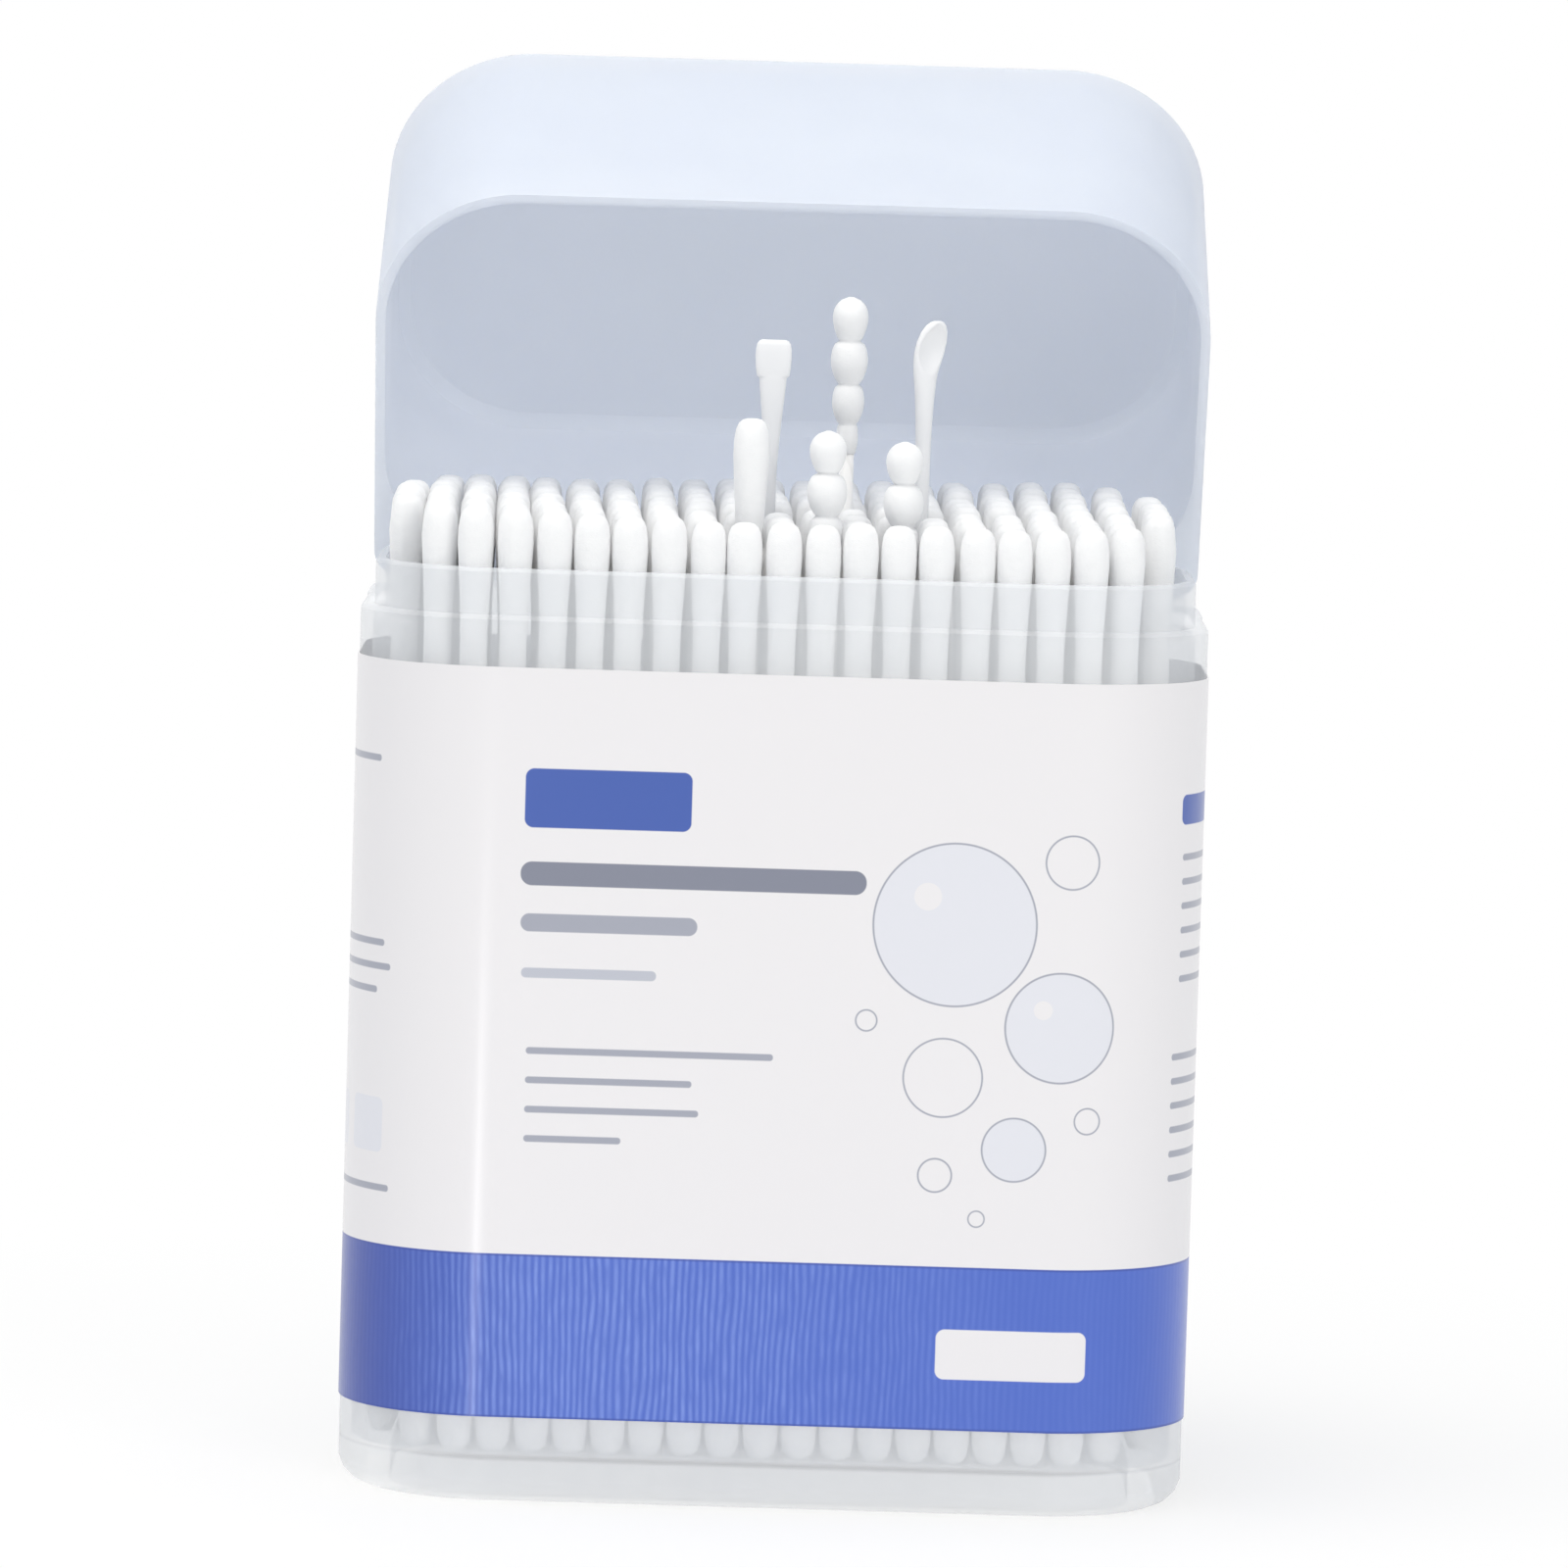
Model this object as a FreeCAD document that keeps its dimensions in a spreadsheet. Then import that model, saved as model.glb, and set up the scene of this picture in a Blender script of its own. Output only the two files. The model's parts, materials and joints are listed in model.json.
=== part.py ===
import FreeCAD, Part
import math
import os

from FreeCAD import Placement, Rotation, Vector
from Sketcher import Constraint

# Cotton swab box: a frosted flip-top box with a wrap label, packed with upright swabs.
# Frame: +Z up, +X to the right, -Y towards the viewer, origin at the centre of the base.

DRIVING_SIZES = (
    # Box
    ("box_width", 68.0),
    ("box_depth", 36.0),
    ("corner_radius", 12.0),
    ("shoulder_height", 70.8),
    ("body_wall", 1.0),
    ("shoulder_thickness", 1.0),
    ("shoulder_break", 0.3),
    ("floor_level", 3.8),
    ("floor_thickness", 1.0),
    ("bottom_round", 2.4),
    ("foot_inset", 4.2),
    ("neck_inset", 1.1),
    ("neck_wall", 0.8),
    ("neck_height", 3.7),
    ("neck_break", 0.3),
    # Hinge
    ("flange_reach", 12.0),
    ("flange_corner", 2.6),
    ("flange_thickness", 1.0),
    ("hinge_offset", 0.3),
    ("hinge_length", 60.0),
    ("hinge_bead_radius", 0.2),
    ("hinge_web", 0.25),
    # Lid
    ("lid_height", 26.8),
    ("lid_wall", 0.8),
    ("lid_top", 0.9),
    ("lid_round", 1.8),
    ("lid_inner_break", 1.0),
    ("lid_seat_gap", 0.15),
    ("lid_open_angle", 64.0),
    # Label
    ("label_low", 7.0),
    ("label_high", 66.8),
    ("label_film", 0.12),
    ("label_gap", 0.03),
    ("label_seam", 1.0),
    # Swabs
    ("swab_length", 75.7),
    ("swab_clearance", 0.15),
    ("swab_gap", 0.389),
    ("column_gap", 0.2),
    ("head_length", 10.5),
    ("head_crown", 2.4),
    ("crown_radius", 0.75),
    ("stick_radius", 1.08),
    ("wound_length", 8.5),
    ("thin_stick_radius", 0.6),
    ("bead_radius", 1.5),
    ("bead_spacing", 3.75),
    ("spoon_width", 2.9),
    ("spoon_thickness", 1.0),
    ("spoon_length", 10.0),
    ("spoon_dish", 0.35),
)

# How far each proud swab stands above the rest
LIFTS = (
    ("round_swab_lift", 7.2),
    ("paddle_swab_lift", 13.2),
    ("beaded_swab_lift", 6.4),
    ("side_beaded_swab_lift", 5.7),
    ("tall_beaded_swab_lift", 16.7),
    ("scoop_swab_lift", 15.1),
)

# Rows of swabs from front to back, which with the gaps between them fill the depth of the mouth
ROWS = 10
DERIVED_SIZES = (
    ("head_radius", f"=(box_depth / 2 - neck_inset - neck_wall - swab_clearance"
                    f" - swab_gap * {(ROWS - 1) / 2}) / {ROWS}"),
)

ALL_SIZES = DRIVING_SIZES + LIFTS + DERIVED_SIZES
SAME_HEIGHT = 1e-4
OUTER_SIDES = 6
INNER_SIDES = 5
PROUD_SIDES = 8

SCOOP_TURN = 35

# Share of a rounding's radius that its middle facet takes, and the two facets beside it
ROUNDING_MIDDLE = 0.6
ROUNDING_SIDE = 0.22

# A wound head is a little slimmer where the winding starts, and looser than its stick there
HEAD_START = 0.97
LOOSE_WINDING = 0.05
LOOSE_THIN_WINDING = 0.1
TIP_OVER_STICK = 1.0

# Beads of a beaded head from the stick to the tip, as shares of the largest bead's radius,
# the outline of one bead as shares of the spacing and of its own radius, and the last tip
BEAD_SHARES = (0.62, 0.88, 1.0, 0.96)
FIRST_BEAD = 0.55
BEAD_OUTLINE = ((-0.42, 0.66), (-0.21, 0.94), (0.21, 0.9))
BEAD_TIP = (0.45, 0.35)

# A spoon from its neck to its tip: share of the length left above, of the half width, of the half thickness
SPOON_OUTLINE = ((0.42, 0.74, 1.0), (0.16, 1.0, 1.0), (0.04, 0.82, 0.85), (0.0, 0.5, 0.6))
SPOON_DISH_MIDDLE = 0.17

document = FreeCAD.newDocument("cotton_swab_box")


def make_sheet():
    sheet = document.addObject("Spreadsheet::Sheet", "Sizes")
    for row, (alias, content) in enumerate(ALL_SIZES, start=1):
        sheet.set(f"A{row}", alias.replace("_", " "))
        sheet.set(f"B{row}", str(content))
        sheet.setAlias(f"B{row}", alias)
    document.recompute()
    return sheet


sheet = make_sheet()


def size(expression):
    """Number of an expression written in the sheet's aliases."""
    return float(sheet.evalExpression(expression))


def bound(expression):
    """The same expression with each alias naming the sheet."""
    for alias, _ in sorted(ALL_SIZES, key=lambda entry: -len(entry[0])):
        expression = replace_word(expression, alias, "Sizes." + alias)
    return expression


def replace_word(text, word, replacement):
    start = 0
    while True:
        found = text.find(word, start)
        if found < 0:
            return text
        before = text[found - 1] if found else " "
        after = text[found + len(word)] if found + len(word) < len(text) else " "
        if before.isalnum() or before in "_." or after.isalnum() or after == "_":
            start = found + len(word)
            continue
        text = text[:found] + replacement + text[found + len(word):]
        start = found + len(replacement)


# Sketches

def new_sketch(body, name, plane, lift=None):
    sketch = body.newObject("Sketcher::SketchObject", name)
    origin_plane = next(item for item in body.Origin.OriginFeatures if item.Role == plane)
    sketch.AttachmentSupport = (origin_plane, [""])
    sketch.MapMode = "FlatFace"
    if lift:
        sketch.setExpression("AttachmentOffset.Base.z", bound(lift))
    return sketch


def name_distance(sketch, constraint, name, expression):
    index = sketch.addConstraint(constraint)
    sketch.renameConstraint(index, name)
    sketch.setExpression("Constraints." + name, bound(expression))


def add_arc(sketch, centre, radius, start_degrees):
    circle = Part.Circle(Vector(centre[0], centre[1], 0), Vector(0, 0, 1), radius)
    start = math.radians(start_degrees)
    return sketch.addGeometry(Part.ArcOfCircle(circle, start, start + math.pi / 2))


def add_line(sketch, start, end):
    return sketch.addGeometry(Part.LineSegment(Vector(*start, 0), Vector(*end, 0)))


def rounded_outline(body, name, lift, inset, middle="0"):
    """Closed outline of the box in plan, drawn inset from its outer face."""
    sketch = new_sketch(body, name, "XY_Plane", lift)
    half_width = f"box_width / 2 - ({inset})"
    front = f"({middle}) - box_depth / 2 + ({inset})"
    back = f"({middle}) + box_depth / 2 - ({inset})"
    corner = f"corner_radius - ({inset})"
    w, y0, y1, r = size(half_width), size(front), size(back), size(corner)
    low = add_line(sketch, (-w + r, y0), (w - r, y0))
    low_right = add_arc(sketch, (w - r, y0 + r), r, 270)
    right = add_line(sketch, (w, y0 + r), (w, y1 - r))
    high_right = add_arc(sketch, (w - r, y1 - r), r, 0)
    high = add_line(sketch, (w - r, y1), (-w + r, y1))
    high_left = add_arc(sketch, (-w + r, y1 - r), r, 90)
    left = add_line(sketch, (-w, y1 - r), (-w, y0 + r))
    low_left = add_arc(sketch, (-w + r, y0 + r), r, 180)
    chain = (low, low_right, right, high_right, high, high_left, left, low_left)
    for first, second in zip(chain, chain[1:] + chain[:1]):
        sketch.addConstraint(Constraint("Tangent", first, 2, second, 1))
    for line in (low, high):
        sketch.addConstraint(Constraint("Horizontal", line))
    for arc in (high_right, high_left, low_left):
        sketch.addConstraint(Constraint("Equal", low_right, arc))
    name_distance(sketch, Constraint("Radius", low_right, r), "corner", corner)
    name_distance(sketch, Constraint("DistanceX", -1, 1, right, 1, w), "right_side", half_width)
    name_distance(sketch, Constraint("DistanceX", left, 1, -1, 1, w), "left_side", half_width)
    name_distance(sketch, Constraint("DistanceY", -1, 1, low, 1, y0), "front_side", front)
    name_distance(sketch, Constraint("DistanceY", -1, 1, high, 1, y1), "back_side", back)
    return sketch


def flange_outline(body, name, lift, back):
    """Hinge side of the plan, squared out to small corners so that the hinge runs full width."""
    sketch = new_sketch(body, name, "XY_Plane", lift)
    half_width = "box_width / 2"
    front = f"({back}) - flange_reach"
    w, y0, y1, r = size(half_width), size(front), size(back), size("flange_corner")
    low = add_line(sketch, (-w, y0), (w, y0))
    right = add_line(sketch, (w, y0), (w, y1 - r))
    high_right = add_arc(sketch, (w - r, y1 - r), r, 0)
    high = add_line(sketch, (w - r, y1), (-w + r, y1))
    high_left = add_arc(sketch, (-w + r, y1 - r), r, 90)
    left = add_line(sketch, (-w, y1 - r), (-w, y0))
    for first, second in ((right, high_right), (high_right, high), (high, high_left), (high_left, left)):
        sketch.addConstraint(Constraint("Tangent", first, 2, second, 1))
    sketch.addConstraint(Constraint("Coincident", low, 2, right, 1))
    sketch.addConstraint(Constraint("Coincident", left, 2, low, 1))
    sketch.addConstraint(Constraint("Horizontal", low))
    sketch.addConstraint(Constraint("Vertical", right))
    sketch.addConstraint(Constraint("Vertical", left))
    sketch.addConstraint(Constraint("Equal", high_right, high_left))
    name_distance(sketch, Constraint("Radius", high_right, r), "corner", "flange_corner")
    name_distance(sketch, Constraint("DistanceX", -1, 1, right, 1, w), "right_side", half_width)
    name_distance(sketch, Constraint("DistanceX", left, 1, -1, 1, w), "left_side", half_width)
    name_distance(sketch, Constraint("DistanceY", -1, 1, low, 1, y0), "front_side", front)
    name_distance(sketch, Constraint("DistanceY", -1, 1, high, 1, y1), "back_side", back)
    return sketch


def rectangle_outline(body, name, plane, lift, sides):
    """Closed rectangle between the expressions left, right, low and high."""
    sketch = new_sketch(body, name, plane, lift)
    x0, x1, y0, y1 = (size(side) for side in sides)
    corners = ((x0, y0), (x1, y0), (x1, y1), (x0, y1))
    low, right, high, left = (add_line(sketch, a, b) for a, b in zip(corners, corners[1:] + corners[:1]))
    for first, second in ((low, right), (right, high), (high, left), (left, low)):
        sketch.addConstraint(Constraint("Coincident", first, 2, second, 1))
    for line in (low, high):
        sketch.addConstraint(Constraint("Horizontal", line))
    for line in (left, right):
        sketch.addConstraint(Constraint("Vertical", line))
    name_distance(sketch, Constraint("DistanceX", -1, 1, low, 1, x0), "left_side", sides[0])
    name_distance(sketch, Constraint("DistanceX", -1, 1, low, 2, x1), "right_side", sides[1])
    name_distance(sketch, Constraint("DistanceY", -1, 1, low, 1, y0), "low_side", sides[2])
    name_distance(sketch, Constraint("DistanceY", -1, 1, high, 1, y1), "high_side", sides[3])
    return sketch


# Features

def pad(body, name, sketch, length, both_ways=False):
    feature = body.newObject("PartDesign::Pad", name)
    feature.Profile = sketch
    feature.setExpression("Length", bound(length))
    if both_ways:
        feature.SideType = "Symmetric"
    document.recompute()
    return feature


def pocket(body, name, sketch, depth, upwards=False):
    before = body.Shape.Volume
    feature = body.newObject("PartDesign::Pocket", name)
    feature.Profile = sketch
    feature.Reversed = upwards
    feature.setExpression("Length", bound(depth))
    document.recompute()
    if feature.Shape.Volume >= before:
        raise RuntimeError(f"{name} cuts nothing")
    return feature


def level_edges(shape, height, inside=None):
    """Names of the edges that lie at one height, all of them or those within a half width."""
    names = []
    for number, edge in enumerate(shape.Edges, start=1):
        box = edge.BoundBox
        flat = abs(box.ZMin - height) < SAME_HEIGHT and abs(box.ZMax - height) < SAME_HEIGHT
        if flat and (inside is None or max(abs(box.XMin), abs(box.XMax)) < inside):
            names.append(f"Edge{number}")
    return names


def break_edges(body, name, base, height, width, inside=None):
    feature = body.newObject("PartDesign::Chamfer", name)
    feature.Base = (base, level_edges(base.Shape, size(height), inside))
    feature.setExpression("Size", bound(width))
    document.recompute()
    return feature


def round_edges(body, name, base, height, radius, inwards):
    """Rounding in three facets; inwards is the sign of the way from the end face along the wall."""
    middle, side = f"{radius} * {ROUNDING_MIDDLE}", f"{radius} * {ROUNDING_SIDE}"
    wide = break_edges(body, name, base, height, middle)
    softened = break_edges(body, name + "_wall_side", wide, f"{height} {inwards} {middle}", side)
    return break_edges(body, name + "_end_side", softened, height, side)


# Box body, with its raised floor, shoulder, neck and hinge strip

HINGE_HEIGHT = "shoulder_height + lid_seat_gap / 2"
NECK_TOP = "shoulder_height + neck_height"


def make_box_body():
    body = document.addObject("PartDesign::Body", "box_body")
    outside = pad(body, "outside", rounded_outline(body, "outside_plan", None, "0"), "shoulder_height")
    rounded = round_edges(body, "bottom_rounding", outside, "0", "bottom_round", "+")
    break_edges(body, "shoulder_edge", rounded, "shoulder_height", "shoulder_break")
    flange_plan = flange_outline(body, "flange_plan", "shoulder_height - flange_thickness", "box_depth / 2")
    pad(body, "hinge_flange", flange_plan, "flange_thickness")
    neck_plan = rounded_outline(body, "neck_plan", "shoulder_height", "neck_inset")
    neck = pad(body, "neck", neck_plan, "neck_height")
    break_edges(body, "neck_edge", neck, NECK_TOP, "neck_break")
    cavity_plan = rounded_outline(body, "cavity_plan", "shoulder_height - shoulder_thickness", "body_wall")
    pocket(body, "cavity", cavity_plan, "shoulder_height - shoulder_thickness - floor_level")
    mouth_plan = rounded_outline(body, "mouth_plan", NECK_TOP, "neck_inset + neck_wall")
    pocket(body, "mouth", mouth_plan, "neck_height + shoulder_thickness")
    foot_plan = rounded_outline(body, "foot_plan", None, "foot_inset")
    pocket(body, "foot_recess", foot_plan, "floor_level - floor_thickness", upwards=True)
    pad(body, "hinge_film", hinge_web_outline(body), "hinge_length", both_ways=True)
    pad(body, "hinge_bead", hinge_bead_outline(body), "hinge_length", both_ways=True)
    return body


def hinge_web_outline(body):
    """Thin web from the back of the flange to the line that the lid turns about."""
    sides = ("box_depth / 2 - hinge_web", "box_depth / 2 + hinge_offset", "shoulder_height - hinge_web",
             "shoulder_height")
    return rectangle_outline(body, "hinge_web_section", "YZ_Plane", None, sides)


def hinge_bead_outline(body):
    sketch = new_sketch(body, "hinge_bead_section", "YZ_Plane")
    back = "box_depth / 2 + hinge_offset"
    y, z, r = size(back), size(HINGE_HEIGHT), size("hinge_bead_radius")
    circle = sketch.addGeometry(Part.Circle(Vector(y, z, 0), Vector(0, 0, 1), r))
    name_distance(sketch, Constraint("Radius", circle, r), "bead", "hinge_bead_radius")
    name_distance(sketch, Constraint("DistanceX", -1, 1, circle, 3, y), "back", back)
    name_distance(sketch, Constraint("DistanceY", -1, 1, circle, 3, z), "height", HINGE_HEIGHT)
    return sketch


# Flip lid, drawn closed about the hinge line and turned open by its placement

LID_MIDDLE = "0 - hinge_offset - box_depth / 2"


def make_flip_lid():
    body = document.addObject("PartDesign::Body", "flip_lid")
    rim = "lid_seat_gap / 2"
    top = "lid_height - lid_seat_gap / 2"
    outside = pad(body, "cap", rounded_outline(body, "cap_plan", rim, "0", LID_MIDDLE), f"{top} - {rim}")
    round_edges(body, "cap_rounding", outside, top, "lid_round", "-")
    flange_plan = flange_outline(body, "lid_flange_plan", rim, "0 - hinge_offset")
    pad(body, "lid_flange", flange_plan, "flange_thickness")
    hollow_plan = rounded_outline(body, "hollow_plan", rim, "lid_wall", LID_MIDDLE)
    hollow_depth = f"{top} - {rim} - lid_top"
    hollow = pocket(body, "hollow", hollow_plan, hollow_depth, upwards=True)
    break_edges(body, "hollow_edge", hollow, f"{top} - lid_top", "lid_inner_break", size("box_width / 2"))
    hinge = Vector(0, size("box_depth / 2 + hinge_offset"), size(HINGE_HEIGHT))
    body.Placement = Placement(hinge, Rotation(Vector(-1, 0, 0), size("lid_open_angle")))
    body.setExpression("Placement.Base.y", bound("box_depth / 2 + hinge_offset"))
    body.setExpression("Placement.Base.z", bound(HINGE_HEIGHT))
    body.setExpression("Placement.Rotation.Angle", bound("lid_open_angle"))
    return body


# Wrap label, a film sleeve whose ends meet in a narrow seam at the back

def make_wrap_label():
    body = document.addObject("PartDesign::Body", "wrap_label")
    outer_plan = rounded_outline(body, "label_outer_plan", "label_low", "0 - label_gap - label_film")
    pad(body, "sleeve", outer_plan, "label_high - label_low")
    inner_plan = rounded_outline(body, "label_inner_plan", "label_high", "0 - label_gap")
    pocket(body, "sleeve_bore", inner_plan, "label_high - label_low")
    pocket(body, "seam", seam_outline(body), "label_high - label_low")
    return body


def seam_outline(body):
    sides = ("0 - label_seam / 2", "label_seam / 2",
             "box_depth / 2 - body_wall", "box_depth / 2 + body_wall")
    return rectangle_outline(body, "seam_plan", "XY_Plane", "label_high", sides)


# Faceted turned forms, because hundreds of round swabs would be too heavy

def ring(radius, height, sides, flatness=1.0):
    turn = math.pi / sides
    angles = [turn + 2 * math.pi * number / sides for number in range(sides)]
    return [Vector(radius * math.cos(a), radius * flatness * math.sin(a), height) for a in angles]


def faceted_solid(rings, twisted=False):
    """Solid between consecutive rings of points, capped at both ends."""
    faces = []
    for low, high in zip(rings, rings[1:]):
        for number in range(len(low)):
            following = (number + 1) % len(low)
            corners = [low[number], low[following], high[following], high[number]]
            outlines = [corners[:3], [corners[0]] + corners[2:]] if twisted else [corners]
            faces += [Part.Face(Part.makePolygon(outline + outline[:1])) for outline in outlines]
    for end in (rings[0], rings[-1]):
        faces.append(Part.Face(Part.makePolygon(end + end[:1])))
    solid = Part.Solid(Part.makeShell(faces))
    if solid.Volume < 0:
        solid.reverse()
    return solid


def turned(profile, sides):
    return faceted_solid([ring(radius, height, sides) for height, radius in profile])


def wound(profile, bore_radius, bore_depth, sides):
    """A turned head with a blind bore from its first height upwards, where the stick sits."""
    low = profile[0][0]
    outer = [ring(radius, height, sides) for height, radius in profile]
    bore_top = ring(bore_radius, low + bore_depth, sides)
    bore_mouth = ring(bore_radius, low, sides)
    return faceted_solid([bore_top, bore_mouth] + outer)


def feature_at(label, shape, x, y, z, flipped=False, turn=0.0):
    feature = document.addObject("Part::Feature", label)
    feature.Label = label
    feature.Shape = shape
    upright = Rotation(Vector(0, 0, 1), turn)
    inverted = Rotation(Vector(1, 0, 0), 180 if flipped else 0)
    feature.Placement = Placement(Vector(x, y, z), upright.multiply(inverted))
    return feature


# Where the swabs stand

WALL_TO_CENTRE = "neck_inset + neck_wall + swab_clearance + head_radius"


def column_positions():
    """Middle of every column across the box."""
    half = size(f"box_width / 2 - ({WALL_TO_CENTRE})")
    gaps = math.floor(2 * half / size("2 * head_radius + column_gap"))
    gaps -= gaps % 2
    return [-half + 2 * half * number / gaps for number in range(gaps + 1)]


def column_swabs(x):
    """Places of the swabs in the column at x, from front to back, inside the rounded corners."""
    half_depth = size(f"box_depth / 2 - ({WALL_TO_CENTRE})")
    radius = size(f"corner_radius - ({WALL_TO_CENTRE})")
    beyond = min(max(abs(x) - size("box_width / 2 - corner_radius"), 0.0), radius)
    reach = half_depth - radius + math.sqrt(radius * radius - beyond * beyond)
    gaps = min(round(2 * reach / size("2 * head_radius + swab_gap")), ROWS - 1)
    return [-reach + 2 * reach * number / gaps for number in range(gaps + 1)]


COLUMNS = column_positions()
MIDDLE_COLUMN = len(COLUMNS) // 2
FULL_COLUMN = column_swabs(0.0)

# Column and row, counted from the middle column and from the front, where a proud swab stands.
# A half column is between two columns and takes the room of both.
PROUD_PLACES = {
    "round_swab": (-1, 1),
    "paddle_swab": (-0.5, 3),
    "beaded_swab": (1, 1),
    "side_beaded_swab": (3, 1),
    "tall_beaded_swab": (1.5, 4),
    "scoop_swab": (3.5, 3),
}


def proud_position(name):
    """Middle of a column, or between two columns and leaning on the sticks of the row behind."""
    column, row = PROUD_PLACES[name]
    row = round(row)
    low = COLUMNS[MIDDLE_COLUMN + math.floor(column)]
    high = COLUMNS[MIDDLE_COLUMN + math.ceil(column)]
    if low == high:
        return low, FULL_COLUMN[row]
    seat = size("head_radius + stick_radius + swab_clearance")
    half = (high - low) / 2
    return low + half, FULL_COLUMN[row + 1] - math.sqrt(seat * seat - half * half)


def is_taken(column, row):
    offset = column - MIDDLE_COLUMN
    for proud_column, proud_row in PROUD_PLACES.values():
        if row == proud_row and abs(offset - proud_column) < 1:
            return True
    return False


def swab_profile(sides):
    """Heights and radii of a double-ended swab, from its foot to its tip."""
    length, crown = size("swab_length"), size("head_crown")
    tip, head = size("crown_radius"), size("head_radius")
    neck, stick = size("head_length"), size("stick_radius")
    upper = [(length - neck, stick), (length - crown, head), (length, tip)]
    if sides == INNER_SIDES:
        return [(0, stick)] + upper
    return [(0, tip), (crown, head), (neck, stick)] + upper


def make_swab_rows():
    rows = [[] for _ in FULL_COLUMN]
    floor = size("floor_level")
    outer = turned(swab_profile(OUTER_SIDES), OUTER_SIDES)
    inner = turned(swab_profile(INNER_SIDES), INNER_SIDES)
    for column, x in enumerate(COLUMNS):
        places = column_swabs(x)
        skipped = (len(FULL_COLUMN) - len(places)) // 2
        for number, y in enumerate(places):
            row = number + skipped
            if is_taken(column, row):
                continue
            at_edge = number in (0, len(places) - 1) or column in (0, len(COLUMNS) - 1)
            swab = (outer if at_edge else inner).copy()
            swab.translate(Vector(x, y, floor))
            rows[row].append(swab)
    features = []
    for number, swabs in enumerate(rows, start=1):
        features.append(feature_at(f"swab_row_{number:02d}", Part.makeCompound(swabs), 0, 0, 0))
    return features


# Proud swabs, each a stick with its own heads

def plain_head():
    length, crown = size("head_length"), size("head_crown")
    tip, head, stick = size("crown_radius"), size("head_radius"), size("stick_radius")
    return [(0, stick + LOOSE_WINDING), (length - 2 * crown, head * HEAD_START), (length - crown, head),
            (length - crown / 4, (head + tip) / 2), (length, tip / 2)]


def beaded_profile(beads, stick_radius):
    """Beads of wound cotton, shrinking towards the stick, as heights from the lowest neck."""
    spacing, largest = size("bead_spacing"), size("bead_radius")
    profile = [(0, stick_radius + LOOSE_THIN_WINDING)]
    for number, share in enumerate(BEAD_SHARES[-beads:]):
        middle = spacing * (number + FIRST_BEAD)
        profile += [(middle + spacing * rise, largest * share * width) for rise, width in BEAD_OUTLINE]
    top_rise, top_width = BEAD_TIP
    profile.append((middle + spacing * top_rise, largest * top_width))
    return profile


def make_round_swab():
    x, y = proud_position("round_swab")
    low = size("floor_level + round_swab_lift")
    return cotton_swab("round_swab", x, y, low, size("stick_radius"), plain_head())


def make_beaded_swab(name, beads):
    x, y = proud_position(name)
    stick = size("thin_stick_radius")
    low = size(f"floor_level + {name}_lift")
    return cotton_swab(name, x, y, low, stick, beaded_profile(beads, stick))


def lower_head(stick_radius):
    profile = plain_head()
    return [(profile[0][0], stick_radius + LOOSE_THIN_WINDING)] + profile[1:]


def cotton_swab(name, x, y, low, stick_radius, upper_profile):
    """A stick with a wound head at each end; both bores take the same length of stick."""
    length, bore = size("swab_length"), size("wound_length")
    lower_profile = lower_head(stick_radius)
    upper_bore = min(bore, upper_profile[-1][0] - TIP_OVER_STICK)
    foot = lower_profile[-1][0]
    lower_root = low + foot
    upper_root = low + length - upper_profile[-1][0]
    stick_low, stick_high = lower_root - bore, upper_root + upper_bore
    stick = turned([(0, stick_radius), (stick_high - stick_low, stick_radius)], PROUD_SIDES)
    upper = wound(upper_profile, stick_radius, upper_bore, PROUD_SIDES)
    lower = wound(lower_profile, stick_radius, bore, PROUD_SIDES)
    return [
        feature_at(f"{name}_stick", stick, x, y, stick_low),
        feature_at(f"{name}_upper_head", upper, x, y, upper_root),
        feature_at(f"{name}_lower_head", lower, x, y, lower_root, flipped=True),
    ]


def spoon_swab(name, turn, dished):
    """A moulded stick whose top is a flat paddle or a dished scoop, with cotton at its foot."""
    x, y = proud_position(name)
    low = size(f"floor_level + {name}_lift")
    stick_radius, length, bore = size("thin_stick_radius"), size("swab_length"), size("wound_length")
    half, thick, reach = size("spoon_width") / 2, size("spoon_thickness") / 2, size("spoon_length")
    lower_profile = lower_head(stick_radius)
    lower_root = low + lower_profile[-1][0]
    stick_low = lower_root - bore
    top = low + length - stick_low
    sections = [(0, stick_radius, stick_radius), (top - reach, stick_radius, stick_radius)]
    sections += [(top - reach * left, half * wide, thick * deep) for left, wide, deep in SPOON_OUTLINE]
    rings = [ring(width, height, PROUD_SIDES, depth / width) for height, width, depth in sections]
    stick = faceted_solid(rings, twisted=True)
    if dished:
        ball = size("spoon_width")
        depth = size("spoon_dish")
        middle = top - reach * SPOON_DISH_MIDDLE
        cutter = Part.makeSphere(ball, Vector(0, -ball - thick + depth, middle))
        stick = stick.cut(cutter)
    return [
        feature_at(f"{name}_stick", stick, x, y, stick_low, turn=turn),
        feature_at(f"{name}_lower_head", wound(lower_profile, stick_radius, bore, PROUD_SIDES), x, y,
                   lower_root, flipped=True, turn=turn),
    ]


# The whole part

def check_state():
    for item in document.Objects:
        if "Invalid" in item.State or "Error" in item.State:
            raise RuntimeError(f"{item.Label} failed: {item.State}")


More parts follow.
